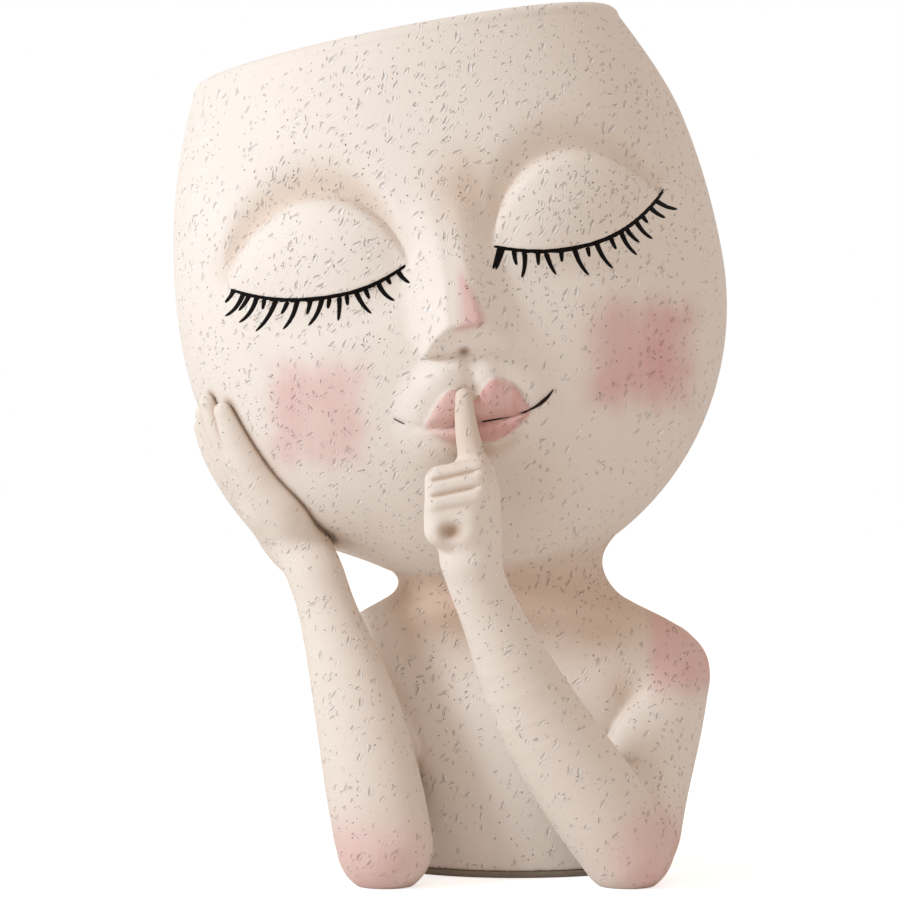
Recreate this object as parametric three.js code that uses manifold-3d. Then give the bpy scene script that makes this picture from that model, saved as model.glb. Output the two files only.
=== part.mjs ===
// Resin vase: a leaning head with an open crown rests on a bust, one hand on its cheek and
// one finger on its lips.
// Millimetres, +Z up. The origin is the centre of the underside, and the face looks along -Y.

import * as THREE from "three";
import { LoftGeometry } from "three/addons/geometries/LoftGeometry.js";
import { mergeVertices } from "three/addons/utils/BufferGeometryUtils.js";
import Module from "manifold-3d";

// Fits
const GLUE_GAP = 0.3;
const DOWEL_CLEARANCE = 0.3;

// Head, measured from its own centre along its own leaning axis
const HEAD_X = -17.4;
const HEAD_Y = -8;
const HEAD_LEAN = 9.7;
const HEAD_HALF_WIDTH = 75.5;
const HEAD_HALF_DEPTH = 62;
const CHIN_DROP = 78.7;
const RIM_RISE = 71.8;
const CROWN_ABOVE_RIM = 44.2;
const RIM_LEAN = 1.2;
const WALL = 6;
const LIP_RADIUS = 2.2;
const FLOOR_THICKNESS = 24;

// Face, measured on the front of the head from its centre
const FACE_MIDLINE = 1.1;
const EYE_SPREAD = 34.5;
const EYE_RISE = 18;
const EYELID_HALF_WIDTH = 28.5;
const EYELID_HALF_HEIGHT = 17.5;
const EYELID_ROUNDNESS = 14;
const EYELID_BULGE = 4.2;
const NOSE_TOP = 24;
const NOSE_TIP_DROP = 9.5;
const NOSE_BASE_DROP = 15.5;
const NOSE_PROJECTION = 12;
const NOSE_HALF_WIDTH = 10.5;
const BRIDGE_HALF_WIDTH = 5;
const UPPER_LIP_DROP = 29.2;
const UPPER_LIP_HEIGHT = 10;
const LOWER_LIP_HEIGHT = 8;
const LIP_HALF_WIDTH = 14;
const LIP_BULGE = 2.6;

// Bust
const BASE_HALF_WIDTH = 36;
const BASE_HALF_DEPTH = 30;
const SHOULDER_HEIGHT = 57;
const SHOULDER_HALF_WIDTH = 52.8;
const SHOULDER_HALF_DEPTH = 25;
const NECK_HALF_WIDTH = 27.7;
const NECK_HALF_DEPTH = 22;
const NECK_RISE = 24;
const CHIN_SINK = 2.8;
const BUST_WALL = 7;
const BUST_HOLLOW_HEIGHT = 46;
const UPPER_ARM_RADIUS = 13.2;
const UPPER_ARM_DROP = 6;

// Base
const PAD_THICKNESS = 1.5;
const PLATE_THICKNESS = 4;
const PLATE_LEDGE = 3;

// Forearms; the object's right arm is on the viewer's left
const ELBOW_RADIUS = 12.8;
const ELBOW_HEIGHT = 10.6;
const ELBOW_Y = -45;
const RIGHT_ELBOW_X = -35.3;
const LEFT_ELBOW_X = 28.6;
const FOREARM_RADIUS = 12;
const WRIST_RADIUS = 7.6;
const RIGHT_FOREARM_BOW = 2;
const LEFT_FOREARM_BOW = 4.2;

// Right hand, placed by degrees round the head from the face and by heights below its centre
const HAND_TURN = 72;
const HEEL_DROP = 55;
const PALM_DROP = 45.6;
const KNUCKLE_DROP = 37;
const FINGER_BASE_DROP = 41;
const FINGER_RADIUS = 3.8;
const FINGER_LENGTHS = [25, 29.5, 28, 24];
const FINGER_TURNS = [64, 70.5, 77, 84];
const FINGER_LIFTS = [2.6, 1.9, 1.3, 0.8];
const THUMB_TURN = 36;
const THUMB_RISE = 13;
const WRIST_FROM_HEEL = [5.2, -9, -7];

// Left hand, placed from the tip of the pointing finger
const POINTING_FINGER_RADIUS = 3.9;
const POINTING_FINGER_LENGTH = 17;
const POINTING_FINGER_LEAN = 13;
const FINGERTIP_RISE = 5;
const FINGERTIP_ASIDE = 3.2;
const FIST_RADIUS = 9.9;
const FIST_DROP = 23.2;
const FIST_LENGTH = 19.6;
const CURLED_FINGER_RADIUS = 2.6;

// Dowels
const NECK_DOWEL_RADIUS = 5;
const NECK_DOWEL_DEPTH = 17;
const NECK_DOWEL_COVER = 7;
const ELBOW_DOWEL_RADIUS = 2.5;
const ELBOW_DOWEL_LENGTH = 20;

// Facet counts
const HEAD_SIDES = 48;
const BUST_SIDES = 36;
const LIMB_SIDES = 14;
const FINGER_SIDES = 8;
const STEPS_BETWEEN_STATIONS = 4;
const END_RINGS = 3;

const wasm = await Module();
wasm.setup();

const vector = (x, y, z) => new THREE.Vector3(x, y, z);
const radians = THREE.MathUtils.degToRad;

// A closed geometry as a solid, without the flat triangles at its poles
function solidOf(geometry) {
  const bare = new THREE.BufferGeometry().copy(geometry);
  bare.deleteAttribute("normal");
  bare.deleteAttribute("uv");
  const merged = mergeVertices(bare);
  const corners = merged.index.array;
  const triangles = [];
  for (let i = 0; i < corners.length; i += 3) {
    const [a, b, c] = corners.slice(i, i + 3);
    if (a !== b && b !== c && c !== a) triangles.push(a, b, c);
  }
  return new wasm.Manifold(new wasm.Mesh({
    numProp: 3,
    vertProperties: merged.attributes.position.array,
    triVerts: new Uint32Array(triangles),
  }));
}

// The largest body of a cut solid; crumbs that a cut leaves loose are thrown away
function largestBody(solid) {
  return solid.decompose().reduce((kept, next) => (next.volume() > kept.volume() ? next : kept));
}

function geometryOf(solid) {
  const mesh = solid.getMesh();
  const geometry = new THREE.BufferGeometry();
  geometry.setAttribute("position", new THREE.BufferAttribute(mesh.vertProperties, 3));
  geometry.setIndex(new THREE.BufferAttribute(mesh.triVerts, 1));
  geometry.computeVertexNormals();
  return geometry;
}

const joined = (solids) => solids.reduce((whole, next) => whole.add(next));

// A level oval ring of points
function oval(centre, halfWidth, halfDepth, sides) {
  return Array.from({ length: sides }, (_, i) => {
    const turn = (2 * Math.PI * i) / sides;
    return vector(
      centre.x + halfWidth * Math.cos(turn),
      centre.y + halfDepth * Math.sin(turn),
      centre.z,
    );
  });
}

const loft = (rings) => solidOf(new LoftGeometry(rings, { closed: true, capStart: true, capEnd: true }));

// A rounded limb along a smooth curve; each station has a half size across the front view and
// another through it, and each end is closed by a dome
function limb(stations, sides, grow = 0) {
  const route = new THREE.CatmullRomCurve3(stations.map((station) => station.at));
  const sizes = new THREE.CatmullRomCurve3(
    stations.map((station) => vector(station.across, station.through ?? station.across, 0)),
  );
  const rings = [];
  const addRing = (t, slide, share) => {
    const along = route.getTangent(t);
    const across = vector(0, 1, 0).cross(along).normalize();
    const through = along.clone().cross(across);
    const size = sizes.getPoint(t);
    const reach = Math.min(size.x, size.y) + grow;
    const centre = route.getPoint(t).addScaledVector(along, slide * reach);
    rings.push(Array.from({ length: sides }, (_, i) => {
      const turn = (2 * Math.PI * i) / sides;
      return centre.clone()
        .addScaledVector(across, (size.x + grow) * share * Math.cos(turn))
        .addScaledVector(through, (size.y + grow) * share * Math.sin(turn));
    }));
  };
  const steps = STEPS_BETWEEN_STATIONS * (stations.length - 1);
  for (let i = 1; i <= END_RINGS; i += 1) {
    const rise = (0.5 * Math.PI * i) / (END_RINGS + 1);
    addRing(0, -Math.cos(rise), Math.sin(rise));
  }
  for (let i = 0; i <= steps; i += 1) addRing(i / steps, 0, 1);
  for (let i = END_RINGS; i >= 1; i -= 1) {
    const rise = (0.5 * Math.PI * i) / (END_RINGS + 1);
    addRing(1, Math.cos(rise), Math.sin(rise));
  }
  return loft(rings);
}

// A round bar between two points
function bar(start, end, radius) {
  const along = end.clone().sub(start);
  const geometry = new THREE.CylinderGeometry(radius, radius, along.length(), LIMB_SIDES);
  geometry.applyQuaternion(new THREE.Quaternion().setFromUnitVectors(vector(0, 1, 0), along.normalize()));
  const middle = start.clone().add(end).multiplyScalar(0.5);
  geometry.translate(middle.x, middle.y, middle.z);
  return solidOf(geometry);
}

// A dowel that reaches a distance to either side of a joint, and the hole that takes it
function dowelAt(joint, along, radius, before, after) {
  const reach = (spare) => [
    joint.clone().addScaledVector(along, -before - spare),
    joint.clone().addScaledVector(along, after + spare),
  ];
  return {
    pin: bar(...reach(0), radius),
    hole: bar(...reach(DOWEL_CLEARANCE), radius + DOWEL_CLEARANCE),
  };
}

// Head frame: its x runs to the viewer's right, its z up the leaning axis, and its chin sits in
// the top of the neck
const neckBase = SHOULDER_HEIGHT + NECK_RISE;
const chinHeight = neckBase - CHIN_SINK;
const headFrame = new THREE.Matrix4()
  .makeRotationY(radians(-HEAD_LEAN))
  .setPosition(HEAD_X, HEAD_Y, chinHeight + CHIN_DROP * Math.cos(radians(HEAD_LEAN)));
const chin = vector(0, 0, -CHIN_DROP).applyMatrix4(headFrame);

// The sides follow an ellipsoid that would close above the rim, and the lip fits the wall there
const crownRise = RIM_RISE + CROWN_ABOVE_RIM;
const rimShare = Math.cos(Math.asin(RIM_RISE / crownRise));
const lipRadius = Math.min(LIP_RADIUS, 0.45 * WALL * rimShare);

const placedInHead = (solid) => solid.transform(headFrame.elements);

// The rim is tilted a little further than the head, and the tilt fades out towards the face
function withRimLean(rings) {
  for (const point of rings.flat()) {
    const share = THREE.MathUtils.smoothstep(point.z, 0, RIM_RISE);
    point.z += share * point.x * Math.tan(radians(RIM_LEAN));
  }
  return rings;
}

// Level rings of an egg with its blunt end up: half an ellipsoid below the centre and the lower
// part of a taller one above it
function eggRings(halfWidth, halfDepth, drop, rise, top) {
  const rings = [];
  const addRing = (angle, height) => {
    const centre = vector(0, 0, height * Math.sin(angle));
    rings.push(oval(centre, halfWidth * Math.cos(angle), halfDepth * Math.cos(angle), HEAD_SIDES));
  };
  const lowRings = 11;
  const highRings = 7;
  const topAngle = Math.asin(top / rise);
  for (let i = 1; i <= lowRings; i += 1) addRing(-0.5 * Math.PI * (1 - i / (lowRings + 1)), drop);
  for (let i = 0; i <= highRings; i += 1) addRing((topAngle * i) / highRings, rise);
  return rings;
}

// Rings that carry an egg's top edge round a small radius, inwards or outwards
function lipRings(halfWidth, halfDepth, rise, turnedOut) {
  const lipSteps = 3;
  const share = Math.cos(Math.asin((RIM_RISE - lipRadius) / rise));
  return Array.from({ length: lipSteps }, (_, i) => {
    const turn = (0.5 * Math.PI * (i + 1)) / lipSteps;
    const shift = turnedOut * lipRadius * (1 - Math.cos(turn));
    const height = RIM_RISE - lipRadius * (1 - Math.sin(turn));
    return oval(vector(0, 0, height), halfWidth * share + shift, halfDepth * share + shift, HEAD_SIDES);
  });
}

function headEgg(grow) {
  const rings = eggRings(
    HEAD_HALF_WIDTH + grow,
    HEAD_HALF_DEPTH + grow,
    CHIN_DROP + grow,
    crownRise,
    RIM_RISE - lipRadius,
  );
  rings.push(...lipRings(HEAD_HALF_WIDTH + grow, HEAD_HALF_DEPTH + grow, crownRise, -1));
  return loft(withRimLean(rings));
}

function headCavity() {
  const halfWidth = HEAD_HALF_WIDTH - WALL;
  const halfDepth = HEAD_HALF_DEPTH - WALL;
  const drop = CHIN_DROP - FLOOR_THICKNESS;
  const rings = eggRings(halfWidth, halfDepth, drop, crownRise, RIM_RISE - lipRadius);
  rings.push(...lipRings(halfWidth, halfDepth, crownRise, 1));
  rings.push(rings.at(-1).map((point) => point.clone().setZ(RIM_RISE + lipRadius)));
  return loft(withRimLean(rings));
}

// A point on the front of the head at a place across and up the face
function facePoint(x, z) {
  const reach = z < 0 ? CHIN_DROP : crownRise;
  const share = 1 - (x / HEAD_HALF_WIDTH) ** 2 - (z / reach) ** 2;
  return vector(x, -HEAD_HALF_DEPTH * Math.sqrt(share), z);
}

function faceNormal(point) {
  const reach = point.z < 0 ? CHIN_DROP : crownRise;
  return vector(
    point.x / HEAD_HALF_WIDTH ** 2,
    point.y / HEAD_HALF_DEPTH ** 2,
    point.z / reach ** 2,
  ).normalize();
}

// An oval dome that stands a given height out of the face
function faceDome(x, z, halfWidth, halfHeight, roundness, bulge) {
  const geometry = new THREE.SphereGeometry(1, 20, 12);
  geometry.scale(halfWidth, roundness, halfHeight);
  const place = facePoint(x, z);
  const outward = faceNormal(place);
  geometry.applyQuaternion(new THREE.Quaternion().setFromUnitVectors(vector(0, -1, 0), outward));
  place.addScaledVector(outward, bulge - roundness);
  geometry.translate(place.x, place.y, place.z);
  return solidOf(geometry);
}

// The nose widens from the bridge down to its tip, then slopes back under to the lip
function nose(grow) {
  const profile = [
    { z: NOSE_TOP, halfWidth: BRIDGE_HALF_WIDTH, out: 0.5 },
    { z: 0.5 * NOSE_TOP, halfWidth: BRIDGE_HALF_WIDTH, out: 0.4 * NOSE_PROJECTION },
    { z: 0, halfWidth: 1.2 * BRIDGE_HALF_WIDTH, out: 0.75 * NOSE_PROJECTION },
    { z: -NOSE_TIP_DROP, halfWidth: 0.86 * NOSE_HALF_WIDTH, out: NOSE_PROJECTION },
    { z: -0.5 * (NOSE_TIP_DROP + NOSE_BASE_DROP), halfWidth: NOSE_HALF_WIDTH, out: 0.62 * NOSE_PROJECTION },
    { z: -NOSE_BASE_DROP, halfWidth: 0.9 * NOSE_HALF_WIDTH, out: 0.12 * NOSE_PROJECTION },
  ];
  const rings = profile.reverse().map(({ z, halfWidth, out }) => {
    const centre = facePoint(FACE_MIDLINE, z);
    return oval(centre, halfWidth + grow, out + grow, LIMB_SIDES);
  });
  return loft(rings);
}

function lips(grow) {
  const half = 0.5 * LIP_HALF_WIDTH;
  const upperHalf = 0.5 * UPPER_LIP_HEIGHT + grow;
  const lowerHalf = 0.5 * LOWER_LIP_HEIGHT + grow;
  const upper = [-1, 1].map((side) => faceDome(
    FACE_MIDLINE + side * half,
    -UPPER_LIP_DROP,
    half + upperHalf * 0.3 + grow,
    upperHalf,
    upperHalf,
    LIP_BULGE + grow,
  ));
  const lower = faceDome(
    FACE_MIDLINE,
    -UPPER_LIP_DROP - 0.5 * UPPER_LIP_HEIGHT - 0.3 * LOWER_LIP_HEIGHT,
    0.8 * LIP_HALF_WIDTH + grow,
    lowerHalf,
    lowerHalf,
    LIP_BULGE + grow,
  );
  return joined([...upper, lower]);
}

function eyelids(grow) {
  return joined([-1, 1].map((side) => faceDome(
    FACE_MIDLINE + side * EYE_SPREAD,
    EYE_RISE,
    EYELID_HALF_WIDTH + grow,
    EYELID_HALF_HEIGHT + grow,
    EYELID_ROUNDNESS + grow,
    EYELID_BULGE + grow,
  )));
}

// The outside of the head with its face, grown by a gap where a neighbour is cut to it
const headOutside = (grow) => placedInHead(joined([headEgg(grow), eyelids(grow), nose(grow), lips(grow)]));

// Bust: trunk, sloping shoulders and neck as one stack of ovals; the neck leans under the head
function trunk(grow) {
  const bottom = PAD_THICKNESS + GLUE_GAP;
  const level = (z, lean, halfWidth, halfDepth) => ({
    at: vector(chin.x * lean, chin.y * lean, z),
    halfWidth: halfWidth + grow,
    halfDepth: halfDepth + grow,
  });
  const between = (share) => SHOULDER_HALF_WIDTH + share * (NECK_HALF_WIDTH - SHOULDER_HALF_WIDTH);
  const depthBetween = (share) => SHOULDER_HALF_DEPTH + share * (NECK_HALF_DEPTH - SHOULDER_HALF_DEPTH);
  const levels = [
    level(bottom - grow, 0, BASE_HALF_WIDTH, BASE_HALF_DEPTH),
    level(0.44 * SHOULDER_HEIGHT, 0, BASE_HALF_WIDTH, BASE_HALF_DEPTH),
    level(0.78 * SHOULDER_HEIGHT, 0, 0.9 * SHOULDER_HALF_WIDTH, 0.95 * BASE_HALF_DEPTH),
    level(SHOULDER_HEIGHT, 0, SHOULDER_HALF_WIDTH, SHOULDER_HALF_DEPTH),
    level(SHOULDER_HEIGHT + 0.3 * NECK_RISE, 0, between(0.12), depthBetween(0.4)),
    level(SHOULDER_HEIGHT + 0.5 * NECK_RISE, 0.2, between(0.42), depthBetween(0.7)),
    level(SHOULDER_HEIGHT + 0.72 * NECK_RISE, 0.6, between(0.76), depthBetween(1)),
    level(neckBase, 0.8, between(0.97), depthBetween(1)),
    level(neckBase + 0.25 * NECK_HALF_WIDTH, 1, between(1), depthBetween(1)),
    level(neckBase + 0.6 * NECK_HALF_WIDTH, 1.1, between(1), depthBetween(1)),
  ];
  return loft(levels.map(({ at, halfWidth, halfDepth }) => oval(at, halfWidth, halfDepth, BUST_SIDES)));
}

// The upper arm on one side comes down and forward from the shoulder to the elbow
function upperArm(side, elbow) {
  const shoulder = vector(
    side * (SHOULDER_HALF_WIDTH - 0.9 * UPPER_ARM_RADIUS),
    0,
    SHOULDER_HEIGHT - UPPER_ARM_DROP,
  );
  const foot = elbow.clone().lerp(shoulder, 0.16);
  const middle = foot.clone().lerp(shoulder, 0.5);
  return limb([
    { at: shoulder, across: UPPER_ARM_RADIUS },
    { at: middle, across: UPPER_ARM_RADIUS },
    { at: foot, across: 0.9 * UPPER_ARM_RADIUS },
  ], LIMB_SIDES);
}

const elbowOf = {
  right: vector(RIGHT_ELBOW_X, ELBOW_Y, ELBOW_HEIGHT),
  left: vector(LEFT_ELBOW_X, ELBOW_Y, ELBOW_HEIGHT),
};

// A point beside the head: degrees round from the face towards the viewer's left, a height on
// the head and a distance out from its surface
function besideHead(degrees, z, out) {
  const share = Math.sqrt(1 - (z / CHIN_DROP) ** 2);
  const turn = radians(degrees);
  const point = vector(
    -HEAD_HALF_WIDTH * share * Math.sin(turn),
    -HEAD_HALF_DEPTH * share * Math.cos(turn),
    z,
  );
  return point.addScaledVector(faceNormal(point), out).applyMatrix4(headFrame);
}

// A forearm's stations from its elbow to its wrist, bowed sideways a little
function forearmStations(elbow, wrist, bow) {
  const place = (share, bowShare) => elbow.clone().lerp(wrist, share).add(vector(bow * bowShare, 0, 0));
  return [
    { at: elbow, across: ELBOW_RADIUS },
    { at: place(0.2, 0.5), across: 1.07 * FOREARM_RADIUS },
    { at: place(0.5, 1), across: 0.94 * FOREARM_RADIUS },
    { at: place(0.83, 0.5), across: 1.04 * WRIST_RADIUS },
    { at: wrist, across: WRIST_RADIUS },
  ];
}

// Right forearm: up from its elbow to a flat hand that cups the cheek
function rightForearm(grow) {
  const heel = besideHead(HAND_TURN, -HEEL_DROP, 0.3 * WRIST_RADIUS);
  const palm = besideHead(HAND_TURN + 4, -PALM_DROP, 0.25 * WRIST_RADIUS);
  const knuckles = besideHead(HAND_TURN + 7, -KNUCKLE_DROP, 0.2 * WRIST_RADIUS);
  const wrist = heel.clone().add(vector(...WRIST_FROM_HEEL));
  const arm = limb([
    ...forearmStations(elbowOf.right, wrist, RIGHT_FOREARM_BOW),
    { at: heel, across: WRIST_RADIUS, through: 1.5 * WRIST_RADIUS },
    { at: palm, across: 0.95 * WRIST_RADIUS, through: 2.1 * WRIST_RADIUS },
    { at: knuckles, across: 0.7 * WRIST_RADIUS, through: 2.2 * WRIST_RADIUS },
  ], LIMB_SIDES, grow);
  const fingers = FINGER_LENGTHS.map((length, i) => {
    const place = (share) => besideHead(FINGER_TURNS[i], share * length - FINGER_BASE_DROP, FINGER_LIFTS[i]);
    return limb([
      { at: place(0), across: FINGER_RADIUS },
      { at: place(0.5), across: 0.95 * FINGER_RADIUS },
      { at: place(1), across: 0.68 * FINGER_RADIUS },
    ], FINGER_SIDES, grow);
  });
  const thumbPlace = (share) => besideHead(
    HAND_TURN + (0.5 + 0.5 * share) * THUMB_TURN,
    share * THUMB_RISE - 0.95 * HEEL_DROP,
    0.7 * FINGER_RADIUS,
  );
  const thumb = limb([
    { at: thumbPlace(0), across: 1.15 * FINGER_RADIUS },
    { at: thumbPlace(0.5), across: FINGER_RADIUS },
    { at: thumbPlace(1), across: 0.75 * FINGER_RADIUS },
  ], FINGER_SIDES, grow);
  return joined([arm, ...fingers, thumb]);
}

// Left forearm: up across the chest to a fist before the chin, its pointing finger on the lips
function leftForearm(grow) {
  const parting = facePoint(FACE_MIDLINE, -UPPER_LIP_DROP - 0.5 * UPPER_LIP_HEIGHT).applyMatrix4(headFrame);
  const tip = parting.clone().add(vector(
    -FINGERTIP_ASIDE,
    -LIP_BULGE - POINTING_FINGER_RADIUS - GLUE_GAP,
    FINGERTIP_RISE,
  ));
  const downFinger = vector(
    Math.sin(radians(POINTING_FINGER_LEAN)),
    0,
    -Math.cos(radians(POINTING_FINGER_LEAN)),
  );
  const alongFinger = (distance) => tip.clone().addScaledVector(downFinger, distance);
  const fist = tip.clone().add(vector(-0.08 * FIST_RADIUS, -0.1 * FIST_RADIUS, -FIST_DROP));
  const fistTop = fist.clone().add(vector(0.06 * FIST_RADIUS, 0, 0.4 * FIST_RADIUS));
  const wrist = fist.clone().add(vector(0.12 * FIST_LENGTH, 0.2 * FIST_LENGTH, -FIST_LENGTH));
  const arm = limb([
    ...forearmStations(elbowOf.left, wrist, -LEFT_FOREARM_BOW),
    { at: fist.clone().lerp(wrist, 0.47), across: FIST_RADIUS, through: 0.9 * FIST_RADIUS },
    { at: fist, across: FIST_RADIUS },
    { at: fistTop, across: 0.8 * FIST_RADIUS },
  ], LIMB_SIDES, grow);
  const pointing = limb([
    { at: alongFinger(1.3 * POINTING_FINGER_LENGTH), across: POINTING_FINGER_RADIUS },
    { at: alongFinger(POINTING_FINGER_LENGTH), across: POINTING_FINGER_RADIUS },
    { at: alongFinger(0.4 * POINTING_FINGER_LENGTH), across: 0.88 * POINTING_FINGER_RADIUS },
    { at: tip, across: 0.7 * POINTING_FINGER_RADIUS },
  ], FINGER_SIDES, grow);
  const curled = [2.15, 0.53, -1.09].map((rise) => {
    const middle = fist.clone().add(vector(0, -0.76 * FIST_RADIUS, rise * CURLED_FINGER_RADIUS));
    const end = (side) => middle.clone().add(vector(
      side * 0.68 * FIST_RADIUS,
      0.2 * FIST_RADIUS,
      side * 0.09 * FIST_RADIUS,
    ));
    const stations = [end(-1), middle, end(1)];
    return limb(stations.map((at) => ({ at, across: CURLED_FINGER_RADIUS })), FINGER_SIDES, grow);
  });
  return joined([arm, pointing, ...curled]);
}

// Everything below the surface that the vase stands on
function ground() {
  const depth = 100;
  const width = 10 * SHOULDER_HALF_WIDTH;
  const geometry = new THREE.BoxGeometry(width, width, depth);
  geometry.translate(0, 0, -0.5 * depth);
  return solidOf(geometry);
}

// A flat oval slab that follows the trunk's foot, set in from its edge
function footSlab(inset, low, high) {
  const ring = (z) => oval(vector(0, 0, z), BASE_HALF_WIDTH - inset, BASE_HALF_DEPTH - inset, BUST_SIDES);
  return loft([ring(low), ring(high)]);
}

// The hollow in the bust, with a wider step at its mouth for the closing plate
function bustHollow() {
  const low = PAD_THICKNESS + GLUE_GAP;
  const step = low + PLATE_THICKNESS + GLUE_GAP;
  const mouth = footSlab(BUST_WALL - PLATE_LEDGE, low - 1, step);
  const ring = (z, share) => oval(
    vector(0, 0, z),
    share * (BASE_HALF_WIDTH - BUST_WALL),
    share * (BASE_HALF_DEPTH - BUST_WALL),
    BUST_SIDES,
  );
  const chamber = loft([
    ring(low, 1),
    ring(0.7 * BUST_HOLLOW_HEIGHT, 1),
    ring(0.9 * BUST_HOLLOW_HEIGHT, 0.8),
    ring(BUST_HOLLOW_HEIGHT, 0.45),
  ]);
  return mouth.add(chamber);
}

// Dowels across the three glued joints
const neckDowel = dowelAt(
  chin,
  vector(0, 0, 1),
  NECK_DOWEL_RADIUS,
  NECK_DOWEL_DEPTH,
  FLOOR_THICKNESS - NECK_DOWEL_COVER,
);

function elbowDowel(side, elbow) {
  const shoulder = vector(side * (SHOULDER_HALF_WIDTH - UPPER_ARM_RADIUS), 0, SHOULDER_HEIGHT);
  const along = shoulder.sub(elbow).normalize();
  const joint = elbow.clone().addScaledVector(along, ELBOW_RADIUS);
  return dowelAt(joint, along, ELBOW_DOWEL_RADIUS, 0.5 * ELBOW_DOWEL_LENGTH, 0.5 * ELBOW_DOWEL_LENGTH);
}

const rightElbowDowel = elbowDowel(-1, elbowOf.right);
const leftElbowDowel = elbowDowel(1, elbowOf.left);

// Pieces
const headVessel = headOutside(0).subtract(placedInHead(headCavity())).subtract(neckDowel.hole);

const headSeat = headOutside(GLUE_GAP);
const rightArm = rightForearm(0).subtract(headSeat).subtract(ground()).subtract(rightElbowDowel.hole);
const leftArm = leftForearm(0).subtract(headSeat).subtract(ground()).subtract(leftElbowDowel.hole);

const bust = joined([trunk(0), upperArm(-1, elbowOf.right), upperArm(1, elbowOf.left)])
  .subtract(headSeat)
  .subtract(rightForearm(GLUE_GAP))
  .subtract(leftForearm(GLUE_GAP))
  .subtract(footSlab(-SHOULDER_HALF_WIDTH, -SHOULDER_HEIGHT, PAD_THICKNESS + GLUE_GAP))
  .subtract(bustHollow())
  .subtract(neckDowel.hole)
  .subtract(rightElbowDowel.hole)
  .subtract(leftElbowDowel.hole);

const plateLow = PAD_THICKNESS + GLUE_GAP;
const basePlate = footSlab(BUST_WALL - PLATE_LEDGE + GLUE_GAP, plateLow, plateLow + PLATE_THICKNESS);
const basePad = footSlab(0, 0, PAD_THICKNESS)
  .subtract(rightForearm(GLUE_GAP))
  .subtract(leftForearm(GLUE_GAP));

// Finishes
const castResin = { color: 0xefe3d8, roughness: 0.72, metalness: 0 };
const filledResin = { color: 0xd9cbbd, roughness: 0.8, metalness: 0 };
const foamRubber = { color: 0x8d8177, roughness: 0.95, metalness: 0 };
const steel = { color: 0xa9a9a7, roughness: 0.4, metalness: 1 };

function piece(name, solid, finish) {
  const mesh = new THREE.Mesh(geometryOf(largestBody(solid)), new THREE.MeshStandardMaterial(finish));
  mesh.name = name;
  return mesh;
}

const vase = new THREE.Group();
vase.name = "resin_vase";
vase.add(
  piece("head_vessel", headVessel, castResin),
  piece("bust", bust, castResin),
  piece("right_forearm", rightArm, castResin),
  piece("left_forearm", leftArm, castResin),
  piece("base_plate", basePlate, filledResin),
  piece("base_pad", basePad, foamRubber),
  piece("neck_dowel", neckDowel.pin, steel),
  piece("right_elbow_dowel", rightElbowDowel.pin, steel),
  piece("left_elbow_dowel", leftElbowDowel.pin, steel),
);

export default vase;
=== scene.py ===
from math import asin, cos, pi, radians, sin, sqrt, tan

import bpy
import numpy as np
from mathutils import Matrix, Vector


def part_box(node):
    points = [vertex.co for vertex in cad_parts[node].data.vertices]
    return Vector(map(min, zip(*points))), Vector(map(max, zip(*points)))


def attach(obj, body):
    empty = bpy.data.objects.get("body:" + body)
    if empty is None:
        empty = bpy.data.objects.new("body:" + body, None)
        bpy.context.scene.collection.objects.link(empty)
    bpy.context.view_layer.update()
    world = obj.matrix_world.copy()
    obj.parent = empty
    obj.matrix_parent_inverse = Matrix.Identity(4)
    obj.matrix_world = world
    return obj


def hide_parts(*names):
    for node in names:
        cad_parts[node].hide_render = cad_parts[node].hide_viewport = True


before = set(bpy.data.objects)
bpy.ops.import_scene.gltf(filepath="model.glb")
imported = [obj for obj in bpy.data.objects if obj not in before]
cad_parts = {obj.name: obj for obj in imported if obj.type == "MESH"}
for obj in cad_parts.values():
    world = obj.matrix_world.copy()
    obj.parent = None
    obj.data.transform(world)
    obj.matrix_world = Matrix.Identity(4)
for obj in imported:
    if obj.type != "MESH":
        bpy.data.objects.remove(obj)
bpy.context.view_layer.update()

MM = 0.001

# Head, in its own leaning frame: x to the viewer's right, y to the back, z up
HEAD_CENTRE = np.array([-17.4, -8.0, 155.8])
HEAD_LEAN = radians(9.7)
HALF_WIDTH = 75.4
HALF_DEPTH = 62.0
CHIN_DROP = 78.7
RIM_RISE = 71.8
CROWN_RISE = 116.0
RIM_LEAN = radians(1.2)
WALL = 6.0
RIM_OUTER_ROUND = 3.4
RIM_INNER_ROUND = 1.6
FLOOR_RISE = -54.7

# Right of the crown, which draws in towards the rim
CROWN_TRIM = 2.4

# Left underside of the chin, which is cut flatter than the rest of the egg
JAW_CUT = 0.04
JAW_CUT_PLACE = (-35.0, -66.0)
JAW_CUT_SPREAD = 16.0

# Face, across from its midline and up from the head's centre
MIDLINE = 1.1
LID_INNER = 11.4
LID_LOWEST = 29.5
LID_OUTER = 59.0
LEFT_LID_INNER_RISE = 9.4
LEFT_LID_LOWEST_RISE = 4.5
LEFT_LID_OUTER_RISE = 12.2
RIGHT_LID_INNER_RISE = 10.2
RIGHT_LID_LOWEST_RISE = 6.3
RIGHT_LID_OUTER_RISE = 18.7
CREASE_INNER_RISE = 9.5
CREASE_OUTER_RISE = 14.0
CREASE_TOP_RISE = 31.5
LID_DOME = 4.6
LID_STEP = 1.3
LEFT_LID_HOLLOW = 3.645
RIGHT_LID_HOLLOW = 2.7
HOLLOW_RISE = 1.2
HOLLOW_REACH_UP = 7.0
HOLLOW_REACH_DOWN = 2.4

NOSE_TOP = 25.0
NOSE_TIP_RISE = -9.2
NOSE_BASE_RISE = -15.5
NOSE_BASE_TILT = 0.08
NOSE_OUT = 10.8
NOSE_TIP_HALF = 4.6
NOSE_BASE_HALF = 9.6
BRIDGE_HALF = 2.4

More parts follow.
